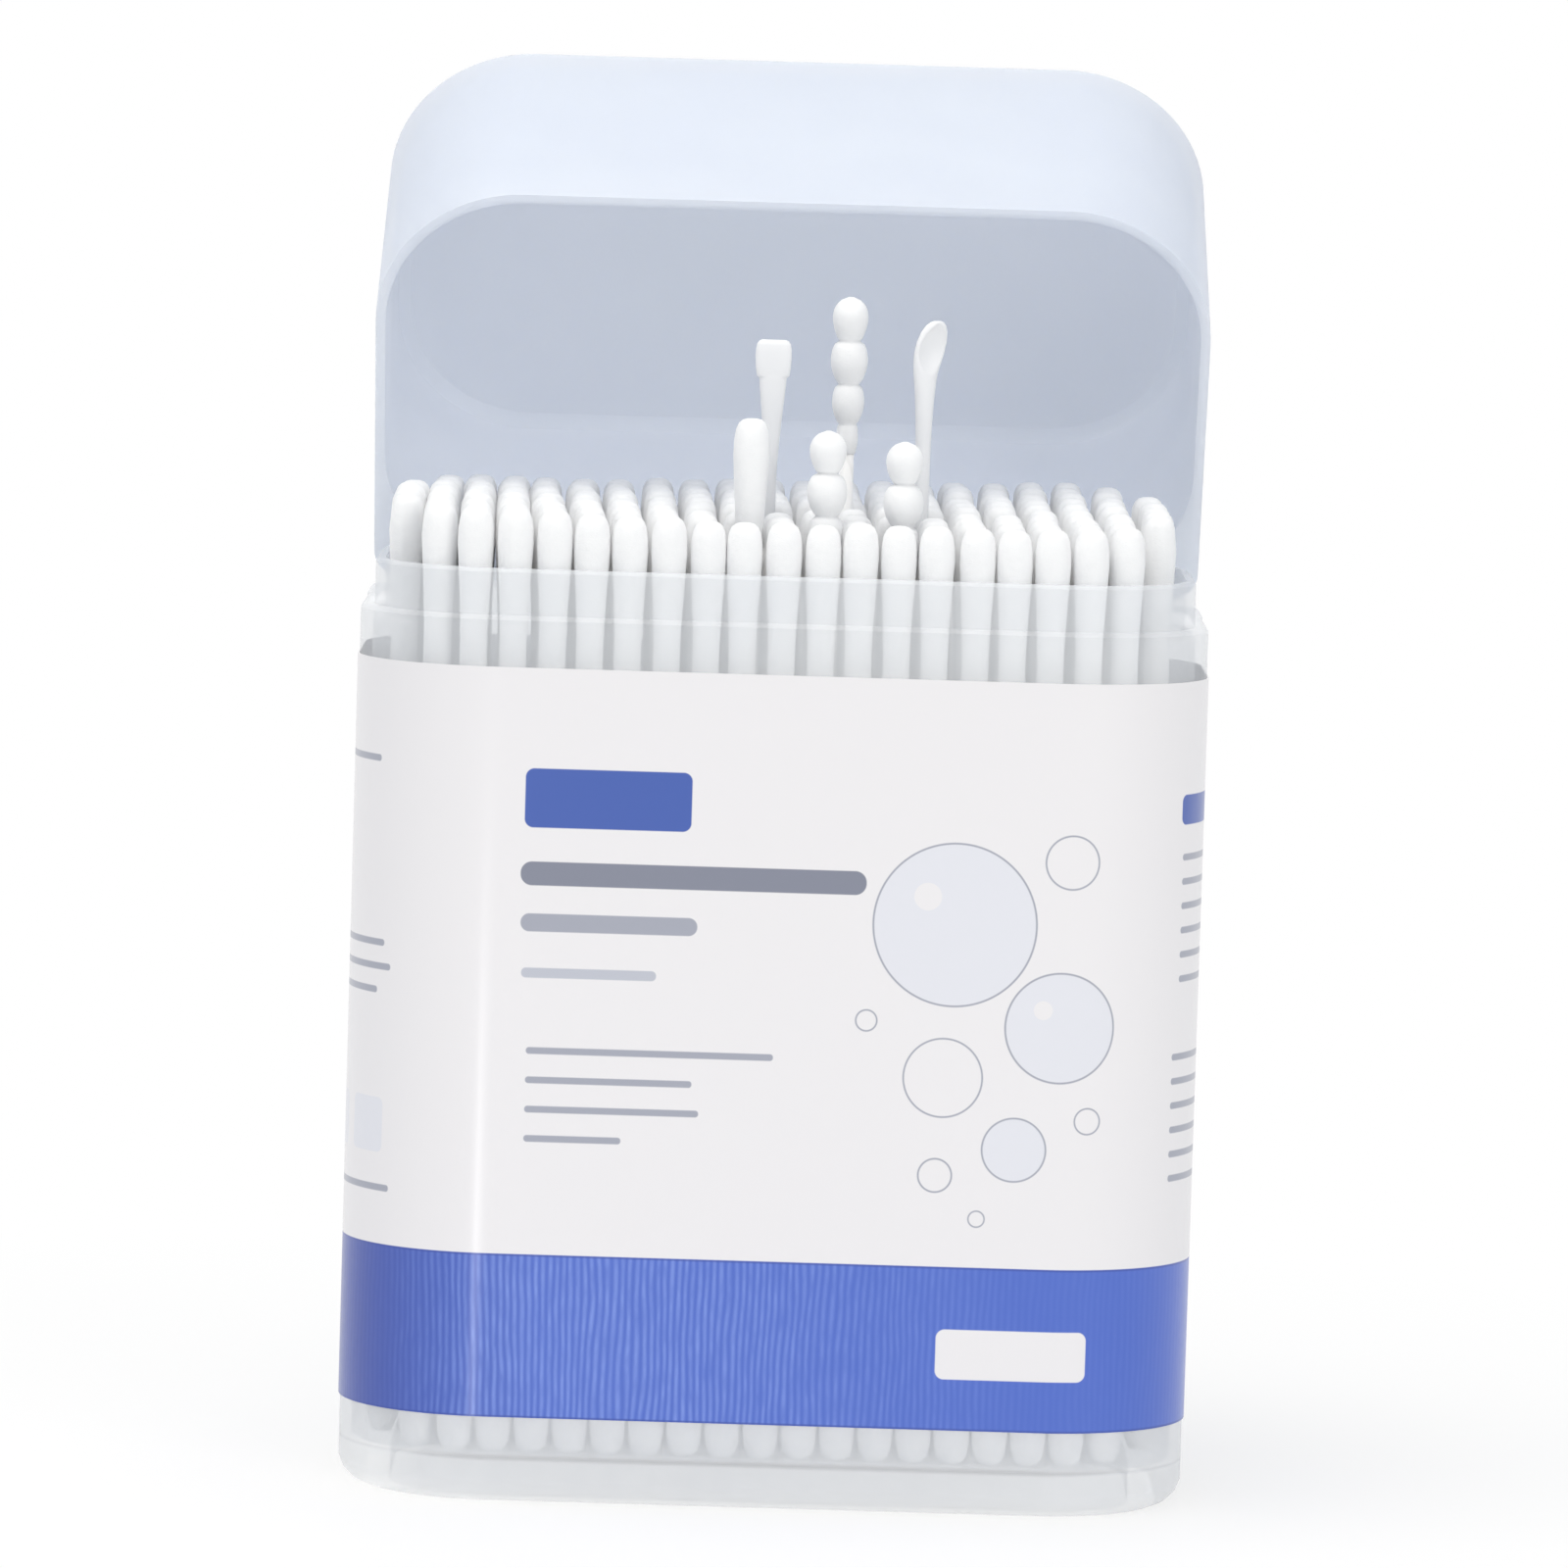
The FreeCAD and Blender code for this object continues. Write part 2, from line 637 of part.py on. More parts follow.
def main():
    pieces = [make_box_body(), make_flip_lid(), make_wrap_label()]
    pieces += make_swab_rows()
    pieces += make_round_swab()
    pieces += make_beaded_swab("beaded_swab", 3)
    pieces += make_beaded_swab("side_beaded_swab", 3)
    pieces += make_beaded_swab("tall_beaded_swab", 4)
    pieces += spoon_swab("paddle_swab", 0, dished=False)
    pieces += spoon_swab("scoop_swab", SCOOP_TURN, dished=True)
    document.recompute()
    check_state()
    for piece in pieces:
        if piece.Shape.isNull() or not piece.Shape.isValid():
            raise RuntimeError(f"{piece.Label} has no valid shape")
    os.makedirs("parts", exist_ok=True)
    for piece in pieces:
        piece.Shape.exportStep(f"parts/{piece.Label}.step")
        box = piece.Shape.BoundBox
        print(f"{piece.Label}: {len(piece.Shape.Solids)} solids, {piece.Shape.Volume:.1f} mm3, "
              f"z {box.ZMin:.2f} to {box.ZMax:.2f}")


main()
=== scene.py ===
"""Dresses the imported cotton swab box: frosted shells, printed wrap label, wound cotton and moulded swabs."""

import json
import logging
import math
from dataclasses import dataclass
from enum import Enum
from typing import Any, Iterable, Sequence

import bmesh
import bpy
from mathutils import Matrix, Vector

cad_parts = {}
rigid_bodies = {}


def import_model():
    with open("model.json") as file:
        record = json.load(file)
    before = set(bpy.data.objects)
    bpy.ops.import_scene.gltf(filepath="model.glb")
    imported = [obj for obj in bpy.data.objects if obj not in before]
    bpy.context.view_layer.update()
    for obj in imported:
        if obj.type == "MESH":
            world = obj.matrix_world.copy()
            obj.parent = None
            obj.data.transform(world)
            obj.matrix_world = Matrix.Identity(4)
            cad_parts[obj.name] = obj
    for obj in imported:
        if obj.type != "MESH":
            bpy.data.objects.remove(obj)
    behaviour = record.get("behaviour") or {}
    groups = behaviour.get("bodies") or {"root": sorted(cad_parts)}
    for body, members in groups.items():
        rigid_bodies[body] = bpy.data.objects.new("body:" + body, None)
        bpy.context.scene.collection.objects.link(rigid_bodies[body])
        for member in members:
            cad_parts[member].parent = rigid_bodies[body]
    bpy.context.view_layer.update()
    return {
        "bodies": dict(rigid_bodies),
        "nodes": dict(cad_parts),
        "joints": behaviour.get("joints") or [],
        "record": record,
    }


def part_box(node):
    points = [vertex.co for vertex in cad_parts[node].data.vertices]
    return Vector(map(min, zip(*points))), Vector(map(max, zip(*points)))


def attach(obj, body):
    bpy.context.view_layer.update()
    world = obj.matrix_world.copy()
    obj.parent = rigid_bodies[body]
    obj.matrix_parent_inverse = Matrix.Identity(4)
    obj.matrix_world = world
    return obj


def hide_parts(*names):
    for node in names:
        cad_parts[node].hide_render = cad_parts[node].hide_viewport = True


LOG = logging.getLogger("swab_box")
MM = 0.001
MERGE = 0.002 * MM
WHITE = (1.0, 1.0, 1.0)
WARM_WHITE = (1.0, 0.96, 0.88)

Frame = dict[str, Any]
Colour = tuple[float, float, float]
Socket = bpy.types.NodeSocket
Material = bpy.types.Material
Piece = bpy.types.Object


def srgb(red: int, green: int, blue: int) -> Colour:
    """Linear colour of an eight-bit screen colour.

    Args:
        red: Red from 0 to 255.
        green: Green from 0 to 255.
        blue: Blue from 0 to 255.

    Returns:
        The linear red, green and blue.
    """
    parts = (channel / 255 for channel in (red, green, blue))
    linear = [part / 12.92 if part <= 0.04045 else ((part + 0.055) / 1.055) ** 2.4 for part in parts]
    return linear[0], linear[1], linear[2]


class Signal:
    """One number in a node tree; Python's operators join such numbers with Math nodes."""

    def __init__(self, bench: "NodeBench", socket: Socket) -> None:
        """Wraps an output socket.

        Args:
            bench: The tree that the socket belongs to.
            socket: The output socket that carries the number.
        """
        self.bench = bench
        self.socket = socket

    def math(self, operation: str, *others: "Signal | float", reflected: bool = False, clamp: bool = False) -> "Signal":
        """Adds one Math node.

        Args:
            operation: The Math node's operation.
            others: The further operands.
            reflected: Whether this signal comes second.
            clamp: Whether the result is kept between 0 and 1.

        Returns:
            The node's result.
        """
        operands = [self, *others]
        if reflected:
            operands.reverse()
        settings = {"operation": operation, "use_clamp": clamp}
        node = self.bench.add("ShaderNodeMath", settings, dict(enumerate(operands)))
        return Signal(self.bench, node.outputs[0])

    def __add__(self, other: "Signal | float") -> "Signal":
        """Sum."""
        return self.math("ADD", other)

    __radd__ = __add__

    def __sub__(self, other: "Signal | float") -> "Signal":
        """Difference."""
        return self.math("SUBTRACT", other)

    def __rsub__(self, other: float) -> "Signal":
        """Reflected difference."""
        return self.math("SUBTRACT", other, reflected=True)

    def __mul__(self, other: "Signal | float") -> "Signal":
        """Product."""
        return self.math("MULTIPLY", other)

    __rmul__ = __mul__

    def __truediv__(self, other: "Signal | float") -> "Signal":
        """Quotient."""
        return self.math("DIVIDE", other)

    def __neg__(self) -> "Signal":
        """Negative."""
        return self.math("MULTIPLY", -1.0)

    def __abs__(self) -> "Signal":
        """Absolute value."""
        return self.math("ABSOLUTE")

    def wave(self) -> "Signal":
        """Sine of this number of radians."""
        return self.math("SINE")

    def root(self) -> "Signal":
        """Square root."""
        return self.math("SQRT")

    def most(self, other: "Signal | float") -> "Signal":
        """The larger of two."""
        return self.math("MAXIMUM", other)

    def held(self) -> "Signal":
        """This number kept between 0 and 1."""
        return self.math("ADD", 0.0, clamp=True)

    def edge(self, softness: float) -> "Signal":
        """A mask that turns from 0 to 1 as this number passes 0.

        Args:
            softness: The width over which it turns.

        Returns:
            The mask.
        """
        return self.math("MULTIPLY_ADD", 1 / softness, 0.5, clamp=True)


Feed = Signal | Socket | float | Sequence[float]


class NodeBench:
    """A node tree under construction."""

    def __init__(self, tree: bpy.types.NodeTree) -> None:
        """Takes a tree to work on.

        Args:
            tree: The tree.
        """
        self.tree = tree

    def add(self, kind: str, settings: dict[str, Any] | None = None,
            feeds: dict[str | int, Feed] | None = None) -> bpy.types.Node:
        """Adds one node.

        Args:
            kind: The node's type.
            settings: Its own properties, which are set first.
            feeds: What each input socket gets, by name or number.

        Returns:
            The node.
        """
        node = self.tree.nodes.new(kind)
        for key, setting in (settings or {}).items():
            setattr(node, key, setting)
        for key, feed in (feeds or {}).items():
            socket = node.inputs[key]
            if isinstance(feed, Signal):
                self.tree.links.new(feed.socket, socket)
            elif isinstance(feed, Socket):
                self.tree.links.new(feed, socket)
            elif isinstance(feed, tuple) and len(feed) == 3 and socket.type == "RGBA":
                socket.default_value = (*feed, 1.0)
            else:
                socket.default_value = feed
        return node

    def parts(self, vector: Socket) -> list[Signal]:
        """The three numbers of a vector.

        Args:
            vector: The vector's socket.

        Returns:
            Its numbers.
        """
        node = self.add("ShaderNodeSeparateXYZ", None, {0: vector})
        return [Signal(self, output) for output in node.outputs]

    def vector(self, x: Feed = 0.0, y: Feed = 0.0, z: Feed = 0.0) -> Socket:
        """A vector of three numbers.

        Args:
            x: The first number.
            y: The second number.
            z: The third number.

        Returns:
            The vector's socket.
        """
        return self.add("ShaderNodeCombineXYZ", None, {0: x, 1: y, 2: z}).outputs[0]

    def vectors(self, operation: str, *operands: Feed) -> Socket:
        """Adds one Vector Math node.

        Args:
            operation: The node's operation.
            operands: What it works on.

        Returns:
            The socket of its result.
        """
        node = self.add("ShaderNodeVectorMath", {"operation": operation}, dict(enumerate(operands)))
        return node.outputs[1 if operation in ("LENGTH", "DISTANCE") else 0]

    def seen(self) -> Signal:
        """Whether a ray comes from the camera, off gloss or through a clear part.

        Returns:
            1 for such a ray and 0 for others.
        """
        rays = self.add("ShaderNodeLightPath").outputs
        camera, gloss, clear = (Signal(self, rays[f"Is {kind} Ray"]) for kind in ("Camera", "Glossy", "Transmission"))
        return camera.most(gloss).most(clear)


class Recipe(NodeBench):
    """A material under construction."""

    def __init__(self, name: str) -> None:
        """Starts an empty material.

        Args:
            name: The material's name.
        """
        self.material = bpy.data.materials.new(name)
        self.material.use_nodes = True
        super().__init__(self.material.node_tree)
        self.tree.nodes.clear()
        self.coordinates = self.add("ShaderNodeTexCoord")

    def place(self, source: str = "Object") -> list[Signal]:
        """Coordinates of the shaded point in millimetres.

        Args:
            source: The Texture Coordinate output to read, Object or UV.

        Returns:
            The three coordinates.
        """
        return [number * (1 / MM) for number in self.parts(self.coordinates.outputs[source])]

    def noise(self, size: float, detail: float = 2.0, stretch: Sequence[float] = (1, 1, 1)) -> Signal:
        """Noise from 0 to 1 on the object's coordinates.

        Args:
            size: The size of its features in millimetres.
            detail: The levels of finer features.
            stretch: Scale along each axis, smaller for longer features.

        Returns:
            The noise.
        """
        scaled = {"Vector": self.coordinates.outputs["Object"], "Scale": tuple(stretch)}
        mapping = self.add("ShaderNodeMapping", None, scaled)
        feeds = {"Vector": mapping.outputs[0], "Scale": 1 / (size * MM), "Detail": detail}
        return Signal(self, self.add("ShaderNodeTexNoise", None, feeds).outputs[0])

    def blend(self, factor: Feed, first: Feed, second: Feed) -> Socket:
        """Mixes two colours.

        Args:
            factor: The share of the second colour.
            first: The first colour.
            second: The second colour.

        Returns:
            The mixed colour.
        """
        return self.add("ShaderNodeMix", {"data_type": "RGBA"}, {0: factor, 6: first, 7: second}).outputs[2]

    def bump(self, height: Signal, depth: float, strength: float = 1.0) -> Socket:
        """Turns a height into a normal.

        Args:
            height: The height, where 1 is the full depth.
            depth: The full depth in millimetres.
            strength: The share of the bump that is used.

        Returns:
            The normal.
        """
        feeds = {"Height": height, "Distance": depth * MM, "Strength": strength}
        return self.add("ShaderNodeBump", None, feeds).outputs[0]

    def plastic(self, **feeds: Feed) -> Socket:
        """The main shader.

        Args:
            feeds: Inputs of the Principled shader, with underscores for spaces.

        Returns:
            The shader.
        """
        named = {key.replace("_", " "): feed for key, feed in feeds.items()}
        return self.add("ShaderNodeBsdfPrincipled", None, named).outputs[0]

    def done(self, shader: Socket) -> Material:
        """Joins the shader to the output.

        Args:
            shader: The finished shader.

        Returns:
            The material.
        """
        self.add("ShaderNodeOutputMaterial", None, {"Surface": shader})
        return self.material


@dataclass(frozen=True)
class FrostedPlastic:
    """Milky moulded polypropylene with a fine sandblasted skin and, where asked, a groove moulded round it that is
    painted darker along its line as shade.

    Sizes, depths and the line's height are in millimetres.
    """

    name: str
    tint: Colour
    shade: Colour
    opacity: float
    patchiness: float = 0.08
    roughness: float = 0.36
    cloud_size: float = 14.0
    flow_size: float = 2.2
    grain: float = 0.25
    grain_depth: float = 0.012
    glow: float = 0.5
    glow_depth: float = 4.0
    groove: float | None = None
    groove_half: float = 0.22
    groove_shade: float = 0.35
    groove_cut: float = 4.0
    # Colour of the painted shade along the groove
    line: Colour = srgb(150, 156, 168)

    def material(self) -> Material:
        """Builds the material.

        Returns:
            The material.
        """
        recipe = Recipe(self.name)
        cloud = recipe.noise(self.cloud_size, 1.0)
        flow = recipe.noise(self.flow_size, 1.0, (1, 1, 0.25))
        skin = recipe.noise(self.grain, 1.0)
        colour = recipe.blend((cloud * 0.8 + flow * 0.2).held(), self.shade, self.tint)
        height = skin + flow * 0.6
        if self.groove is not None:
            # Painted shade: the groove is sunk by the bump and also darkened in colour along its line
            step = (1 - abs(recipe.place()[2] - self.groove) / self.groove_half).held()
            colour = recipe.blend(step * self.groove_shade, colour, self.line)
            height = height - step * self.groove_cut
        return recipe.done(recipe.plastic(
            Base_Color=colour, Roughness=self.roughness + skin * 0.14,
            Alpha=(self.opacity + (cloud - 0.5) * self.patchiness).held(), IOR=1.49,
            Subsurface_Weight=self.glow, Subsurface_Radius=(1.0, 1.0, 1.0), Subsurface_Scale=self.glow_depth * MM,
            Normal=recipe.bump(height, self.grain_depth, 0.5)))


@dataclass(frozen=True)
class WoundCotton:
    """Bleached cotton wound on a stick: short fibres round the head and a soft matt surface."""

    name: str
    light: Colour = (0.93, 0.933, 0.94)
    deep: Colour = (0.86, 0.867, 0.88)
    fibre_size: float = 0.16
    tuft_size: float = 0.9
    fuzz: float = 0.1

    def material(self) -> Material:
        """Builds the material.

        Returns:
            The material.
        """
        recipe = Recipe(self.name)
        fibre = recipe.noise(self.fibre_size, 1.0, (1, 1, 3.2))
        tuft = recipe.noise(self.tuft_size, 2.0, (1, 1, 1.6))
        colour = recipe.blend((tuft * 0.6 + fibre * 0.4).held(), self.deep, self.light)
        return recipe.done(recipe.plastic(
            Base_Color=colour, Roughness=0.86 + fibre * 0.1, Sheen_Weight=0.5, Sheen_Roughness=0.5,
            Normal=recipe.bump(fibre * 0.45 + tuft * 0.55, self.fuzz, 0.6)))


@dataclass(frozen=True)
class RolledPaper:
    """White paper rolled into a stick, with the faint spiral line of its edge."""

    name: str
    white: Colour = (0.88, 0.88, 0.885)
    line: Colour = (0.76, 0.76, 0.76)
    pitch: float = 5.5
    lap_from: float = 0.93

    def material(self) -> Material:
        """Builds the material.

        Returns:
            The material.
        """
        recipe = Recipe(self.name)
        x, y, z = recipe.place()
        ridge = ((x + y) * 2.0 + z * (2 * math.pi / self.pitch)).wave()
        lap = (ridge - self.lap_from).edge(0.08)
        fibre = recipe.noise(0.5, 3.0, (1, 1, 0.3))
        colour = recipe.blend((lap * 0.5 + fibre * 0.25).held(), self.white, self.line)
        return recipe.done(recipe.plastic(
            Base_Color=colour, Roughness=0.6 + fibre * 0.15,
            Normal=recipe.bump(fibre - lap * 0.5, 0.02, 0.5)))


@dataclass(frozen=True)
class MouldedStick:
    """Smooth white moulded plastic with soft flow marks."""

    name: str
    white: Colour = (0.88, 0.885, 0.9)
    shade: Colour = (0.81, 0.82, 0.845)

    def material(self) -> Material:
        """Builds the material.

        Returns:
            The material.
        """
        recipe = Recipe(self.name)
        flow = recipe.noise(2.5, 2.0, (1, 1, 0.2))
        skin = recipe.noise(0.3, 2.0)
        return recipe.done(recipe.plastic(
            Base_Color=recipe.blend(flow, self.shade, self.white), Roughness=0.38 + skin * 0.12,
            Normal=recipe.bump(flow + skin * 0.3, 0.01, 0.4)))


class Ink(Enum):
    """The inks on the wrap label."""

    PAPER = srgb(230, 228, 230)
    ROYAL = srgb(50, 88, 188)
    # Deep royal: the band's printed rim, and also the painted shade round the band's left corner
    ROYAL_DEEP = srgb(36, 64, 156)
    # Light royal: the band's ribs and mottle, and also a little painted light towards its right
    ROYAL_LIGHT = srgb(118, 144, 222)
    BADGE = srgb(50, 84, 168)
    MIST = srgb(221, 222, 229)
    SLATE = srgb(124, 128, 144)
    GREY = srgb(158, 161, 174)
    SOFT_GREY = srgb(184, 187, 198)


@dataclass(frozen=True)
class Bar:
    """A printed bar with rounded corners, in millimetres round the label and up."""

    middle: tuple[float, float]
    half: tuple[float, float]
    ink: Ink
    corner: float = 0.0


@dataclass(frozen=True)
class Disc:
    """A printed disc or, with a bore, a printed ring."""

    middle: tuple[float, float]
    radius: float
    ink: Ink
    bore: float = 0.0


def text_lines(left: float, top: float, step: float, lengths: Sequence[float], ink: Ink) -> tuple[Bar, ...]:
    """Thin bars under one another that stand for small print.

    Args:
        left: Where the bars start.
        top: Height of the first bar.
        step: Distance between the bars.
        lengths: Length of each bar.
        ink: Their ink.

    Returns:
        The bars.
    """
    return tuple(Bar((left + length / 2, top - step * number), (length / 2, 0.27), ink, 0.25)
                 for number, length in enumerate(lengths))


BARS = (
    Bar((-13.5, 56.5), (6.6, 2.35), Ink.BADGE, 0.7),
    Bar((-6.6, 50.5), (13.7, 0.95), Ink.SLATE, 0.9),
    Bar((-13.2, 46.6), (7.0, 0.72), Ink.GREY, 0.7),
    Bar((-14.7, 42.6), (5.35, 0.4), Ink.SOFT_GREY, 0.38),
    *text_lines(-19.5, 36.4, 2.34, (19.6, 13.2, 13.8, 7.7), Ink.GREY),
    *text_lines(-43.5, 58.9, 1.9, (10.2,), Ink.GREY),
    *text_lines(-43.5, 44.2, 1.9, (11.2, 12.0, 10.4), Ink.GREY),
    *text_lines(-43.5, 24.6, 1.9, (12.4,), Ink.GREY),
    Bar((-34.2, 29.6), (2.2, 2.2), Ink.MIST, 0.6),
    Bar((-40.2, 29.6), (2.2, 2.2), Ink.MIST, 0.6),
    Bar((38.6, 56.6), (4.6, 1.2), Ink.BADGE, 0.6),
    *text_lines(34.3, 52.8, 1.95, (14.0, 12.4, 14.0, 11.2, 13.0, 6.2), Ink.GREY),
    *text_lines(33.6, 36.8, 1.95, (12.0, 13.4, 12.6, 10.0, 13.4, 8.0), Ink.GREY),
    Bar((19.7, 13.1), (6.0, 2.0), Ink.PAPER, 0.7),
)

DISCS = (
    Disc((14.2, 47.4), 6.4, Ink.MIST),
    Disc((14.2, 47.4), 6.55, Ink.GREY, 6.4),
    Disc((22.8, 39.4), 4.3, Ink.MIST),
    Disc((22.8, 39.4), 4.45, Ink.GREY, 4.3),
    Disc((13.6, 35.2), 3.2, Ink.GREY, 3.06),
    Disc((23.4, 52.6), 2.2, Ink.GREY, 2.06),
    Disc((19.4, 29.6), 2.5, Ink.MIST),
    Disc((19.4, 29.6), 2.6, Ink.GREY, 2.46),
    Disc((25.2, 32.0), 1.1, Ink.GREY, 0.97),
    Disc((13.2, 27.4), 1.4, Ink.GREY, 1.26),
    Disc((7.4, 39.6), 0.9, Ink.GREY, 0.77),
    Disc((16.6, 24.0), 0.7, Ink.GREY, 0.58),
    Disc((12.0, 49.6), 1.1, Ink.PAPER),
    Disc((21.4, 40.8), 0.75, Ink.PAPER),
)


@dataclass(frozen=True)
class PrintedFilm:
    """Semi-gloss label film: near white, a royal blue band with fine ribs, and a plain bubble pattern; the band has
    painted shade round its left corner and a little painted light towards its right.
    """

    name: str
    band_top: float = 20.1
    band_middle: float = 13.55
    rim_width: float = 0.16
    rib_pitch: float = 0.56
    rib_middle: float = -13.0
    rib_start: float = -31.0
    rib_full: float = 8.0
    rib_fade: float = 26.0
    band_shade_end: float = -34.0
    band_shade_fade: float = 16.0
    sharpness: float = 0.08

    def _ribs(self, recipe: Recipe, around: Signal) -> Signal:
        """Fine upright lines in the band, strongest left of the middle, that waver a little.

        Args:
            recipe: The material.
            around: Millimetres round the label from the front's middle.

        Returns:
            The lines, from 0 to 1.
        """
        waver = recipe.noise(6.0, 2.0, (1, 1, 0.4)) * 1.6 + recipe.noise(1.2, 1.0, (1, 1, 0.35)) * 0.12
        lines = ((around + waver) * (2 * math.pi / self.rib_pitch)).wave() * 0.5 + 0.5
        fade = (1 - (abs(around - self.rib_middle) - self.rib_full) / self.rib_fade).held()
        start = ((around - self.rib_start) / self.rib_full).held()
        return lines * recipe.noise(0.6, 2.0, (1, 1, 0.3)) * (fade * start * 1.3 + 0.15)

    def _bar(self, recipe: Recipe, bar: Bar, spot: Socket) -> Signal:
        """Mask of a bar.

        Args:
            recipe: The material.
            bar: The bar.
            spot: Millimetres round the label and up.

        Returns:
            The mask.
        """
        offset = recipe.vectors("ABSOLUTE", recipe.vectors("SUBTRACT", spot, (*bar.middle, 0.0)))
        core = (bar.half[0] - bar.corner, bar.half[1] - bar.corner, 0.0)
        past = recipe.vectors("MAXIMUM", recipe.vectors("SUBTRACT", offset, core), (0.0, 0.0, 0.0))
        return (bar.corner - Signal(recipe, recipe.vectors("LENGTH", past))).edge(self.sharpness)

    def _disc(self, recipe: Recipe, disc: Disc, spot: Socket) -> Signal:
        """Mask of a disc or ring.

        Args:
            recipe: The material.
            disc: The disc.
            spot: Millimetres round the label and up.

        Returns:
            The mask.
        """
        reach = Signal(recipe, recipe.vectors("DISTANCE", spot, (*disc.middle, 0.0)))
        mask = (disc.radius - reach).edge(self.sharpness)
        return mask * (reach - disc.bore).edge(self.sharpness) if disc.bore else mask

    def material(self) -> Material:
        """Builds the material.

        Returns:
            The material.
        """
        recipe = Recipe(self.name)
        around, up, _ = recipe.place("UV")
        spot = recipe.vector(around, up)
        band = (self.band_top - up).edge(self.sharpness)
        inner = self.band_top - self.band_middle - self.rim_width
        rim = band * (abs(up - self.band_middle) - inner).edge(self.sharpness)
        ribs = self._ribs(recipe, around)
        mottle = recipe.noise(9.0, 1.0)
        # Painted shade: the blue band darkens round the left corner; the same ramp adds a little painted light towards
        # the right
        right = ((around - self.band_shade_end) / self.band_shade_fade).held()
        royal = recipe.blend(right, Ink.ROYAL_DEEP.value, Ink.ROYAL.value)
        royal = recipe.blend((ribs * 0.7 + mottle * 0.1 + right * 0.08).held(), royal, Ink.ROYAL_LIGHT.value)
        colour = recipe.blend(band, Ink.PAPER.value, royal)
        colour = recipe.blend(rim * 0.7, colour, Ink.ROYAL_DEEP.value)
        for disc in DISCS:
            colour = recipe.blend(self._disc(recipe, disc, spot), colour, disc.ink.value)
        for bar in BARS:
            colour = recipe.blend(self._bar(recipe, bar, spot), colour, bar.ink.value)
        skin = recipe.noise(0.8, 1.0)
        swell = recipe.noise(11.0, 1.0)
        height = ribs * band * 0.35 + swell * 0.5 + skin * 0.08
        return recipe.done(recipe.plastic(
            Base_Color=colour, Roughness=0.34 + skin * 0.08 + mottle * 0.05, Coat_Weight=0.5,
            Coat_Roughness=0.17, Normal=recipe.bump(height, 0.05, 0.4)))


@dataclass(frozen=True)
class StudioFloor:
    """Pale floor that keeps the shadow near the object and is plain white farther off."""

    name: str = "studio_floor"
    white: Colour = (0.9, 0.9, 0.9)
    near: float = 45.0
    far: float = 150.0
    least_glow: float = 0.65

    def material(self) -> Material:
        """Builds the material.

        Returns:
            The material.
        """
        recipe = Recipe(self.name)
        x, y, _ = recipe.place()
        reach = (x * x + y * y).root()
        away = ((reach - self.near) / (self.far - self.near)).held()
        share = (away * (1 - self.least_glow) + self.least_glow) * recipe.seen()
        matt = recipe.plastic(Base_Color=self.white, Roughness=0.6)
        glow = recipe.add("ShaderNodeEmission", None, {"Color": WHITE, "Strength": 1.0})
        return recipe.done(recipe.add("ShaderNodeMixShader", None, {0: share, 1: matt, 2: glow.outputs[0]}).outputs[0])


def placed(name: str, data: bpy.types.ID) -> Piece:
    """Puts a new object into the scene.

    Args:
        name: The object's name.
        data: Its mesh, lamp or camera.

    Returns:
        The object.
    """
    item = bpy.data.objects.new(name, data)
    bpy.context.scene.collection.objects.link(item)
    return item


def joined(mesh: bpy.types.Mesh) -> bmesh.types.BMesh:
    """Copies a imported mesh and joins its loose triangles.

    Args:
        mesh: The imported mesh.

    Returns:
        The copy, to be freed after use.
    """
    work = bmesh.new()
    work.from_mesh(mesh)
    bmesh.ops.remove_doubles(work, verts=work.verts, dist=MERGE)
    return work


def lofted(name: str, rings: Sequence[Sequence[Vector]]) -> Piece:
    """A closed smooth skin over rings of points, with a flat end on each side.

    Args:
        name: The object's name.
        rings: Rings of equally many points, from one end to the other.

    Returns:
        The new object.
    """
    count = len(rings[0])
    points = [point for ring in rings for point in ring]
    faces = []
    for level in range(len(rings) - 1):
        for number in range(count):
            low, following = level * count, (number + 1) % count
            faces.append((low + number, low + following, low + count + following, low + count + number))
    last = (len(rings) - 1) * count
    faces.append(tuple(reversed(range(count))))
    faces.append(tuple(range(last, last + count)))
    mesh = bpy.data.meshes.new(name)
    mesh.from_pydata(points, [], faces)
    mesh.polygons.foreach_set("use_smooth", [True] * len(mesh.polygons))
    return placed(name, mesh)


def circle(middle: Vector, radius: float, sides: int) -> list[Vector]:
    """A level ring of points.

    Args:
        middle: Its middle.
        radius: Its radius.
        sides: How many points it has.

    Returns:
        The points, anticlockwise from above.
    """
    angles = [2 * math.pi * number / sides for number in range(sides)]
    return [middle + Vector((radius * math.cos(angle), radius * math.sin(angle), 0)) for angle in angles]


def plain_mesh(piece: Piece) -> None:
    """Bakes a piece's modifiers into its mesh and removes them.

    Args:
        piece: The piece.
    """
    graph = bpy.context.evaluated_depsgraph_get()
    mesh = bpy.data.meshes.new_from_object(piece.evaluated_get(graph), preserve_all_data_layers=True,
                                           depsgraph=graph)
    piece.modifiers.clear()
    old, piece.data = piece.data, mesh
    mesh.name = piece.name
    bpy.data.meshes.remove(old)


def mount(piece: Piece, material: Material, body: str, nodes: Iterable[str]) -> None:
    """Gives a piece its finish, its body and the nodes that it stands for.

    Args:
        piece: The piece.
        material: Its finish.
        body: The body that it rides on.
        nodes: The nodes that it replaces.
    """
    piece.data.materials.clear()
    piece.data.materials.append(material)
    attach(piece, body)
    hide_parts(*nodes)
    LOG.info("%s: %d faces on %s", piece.name, len(piece.data.polygons), body)


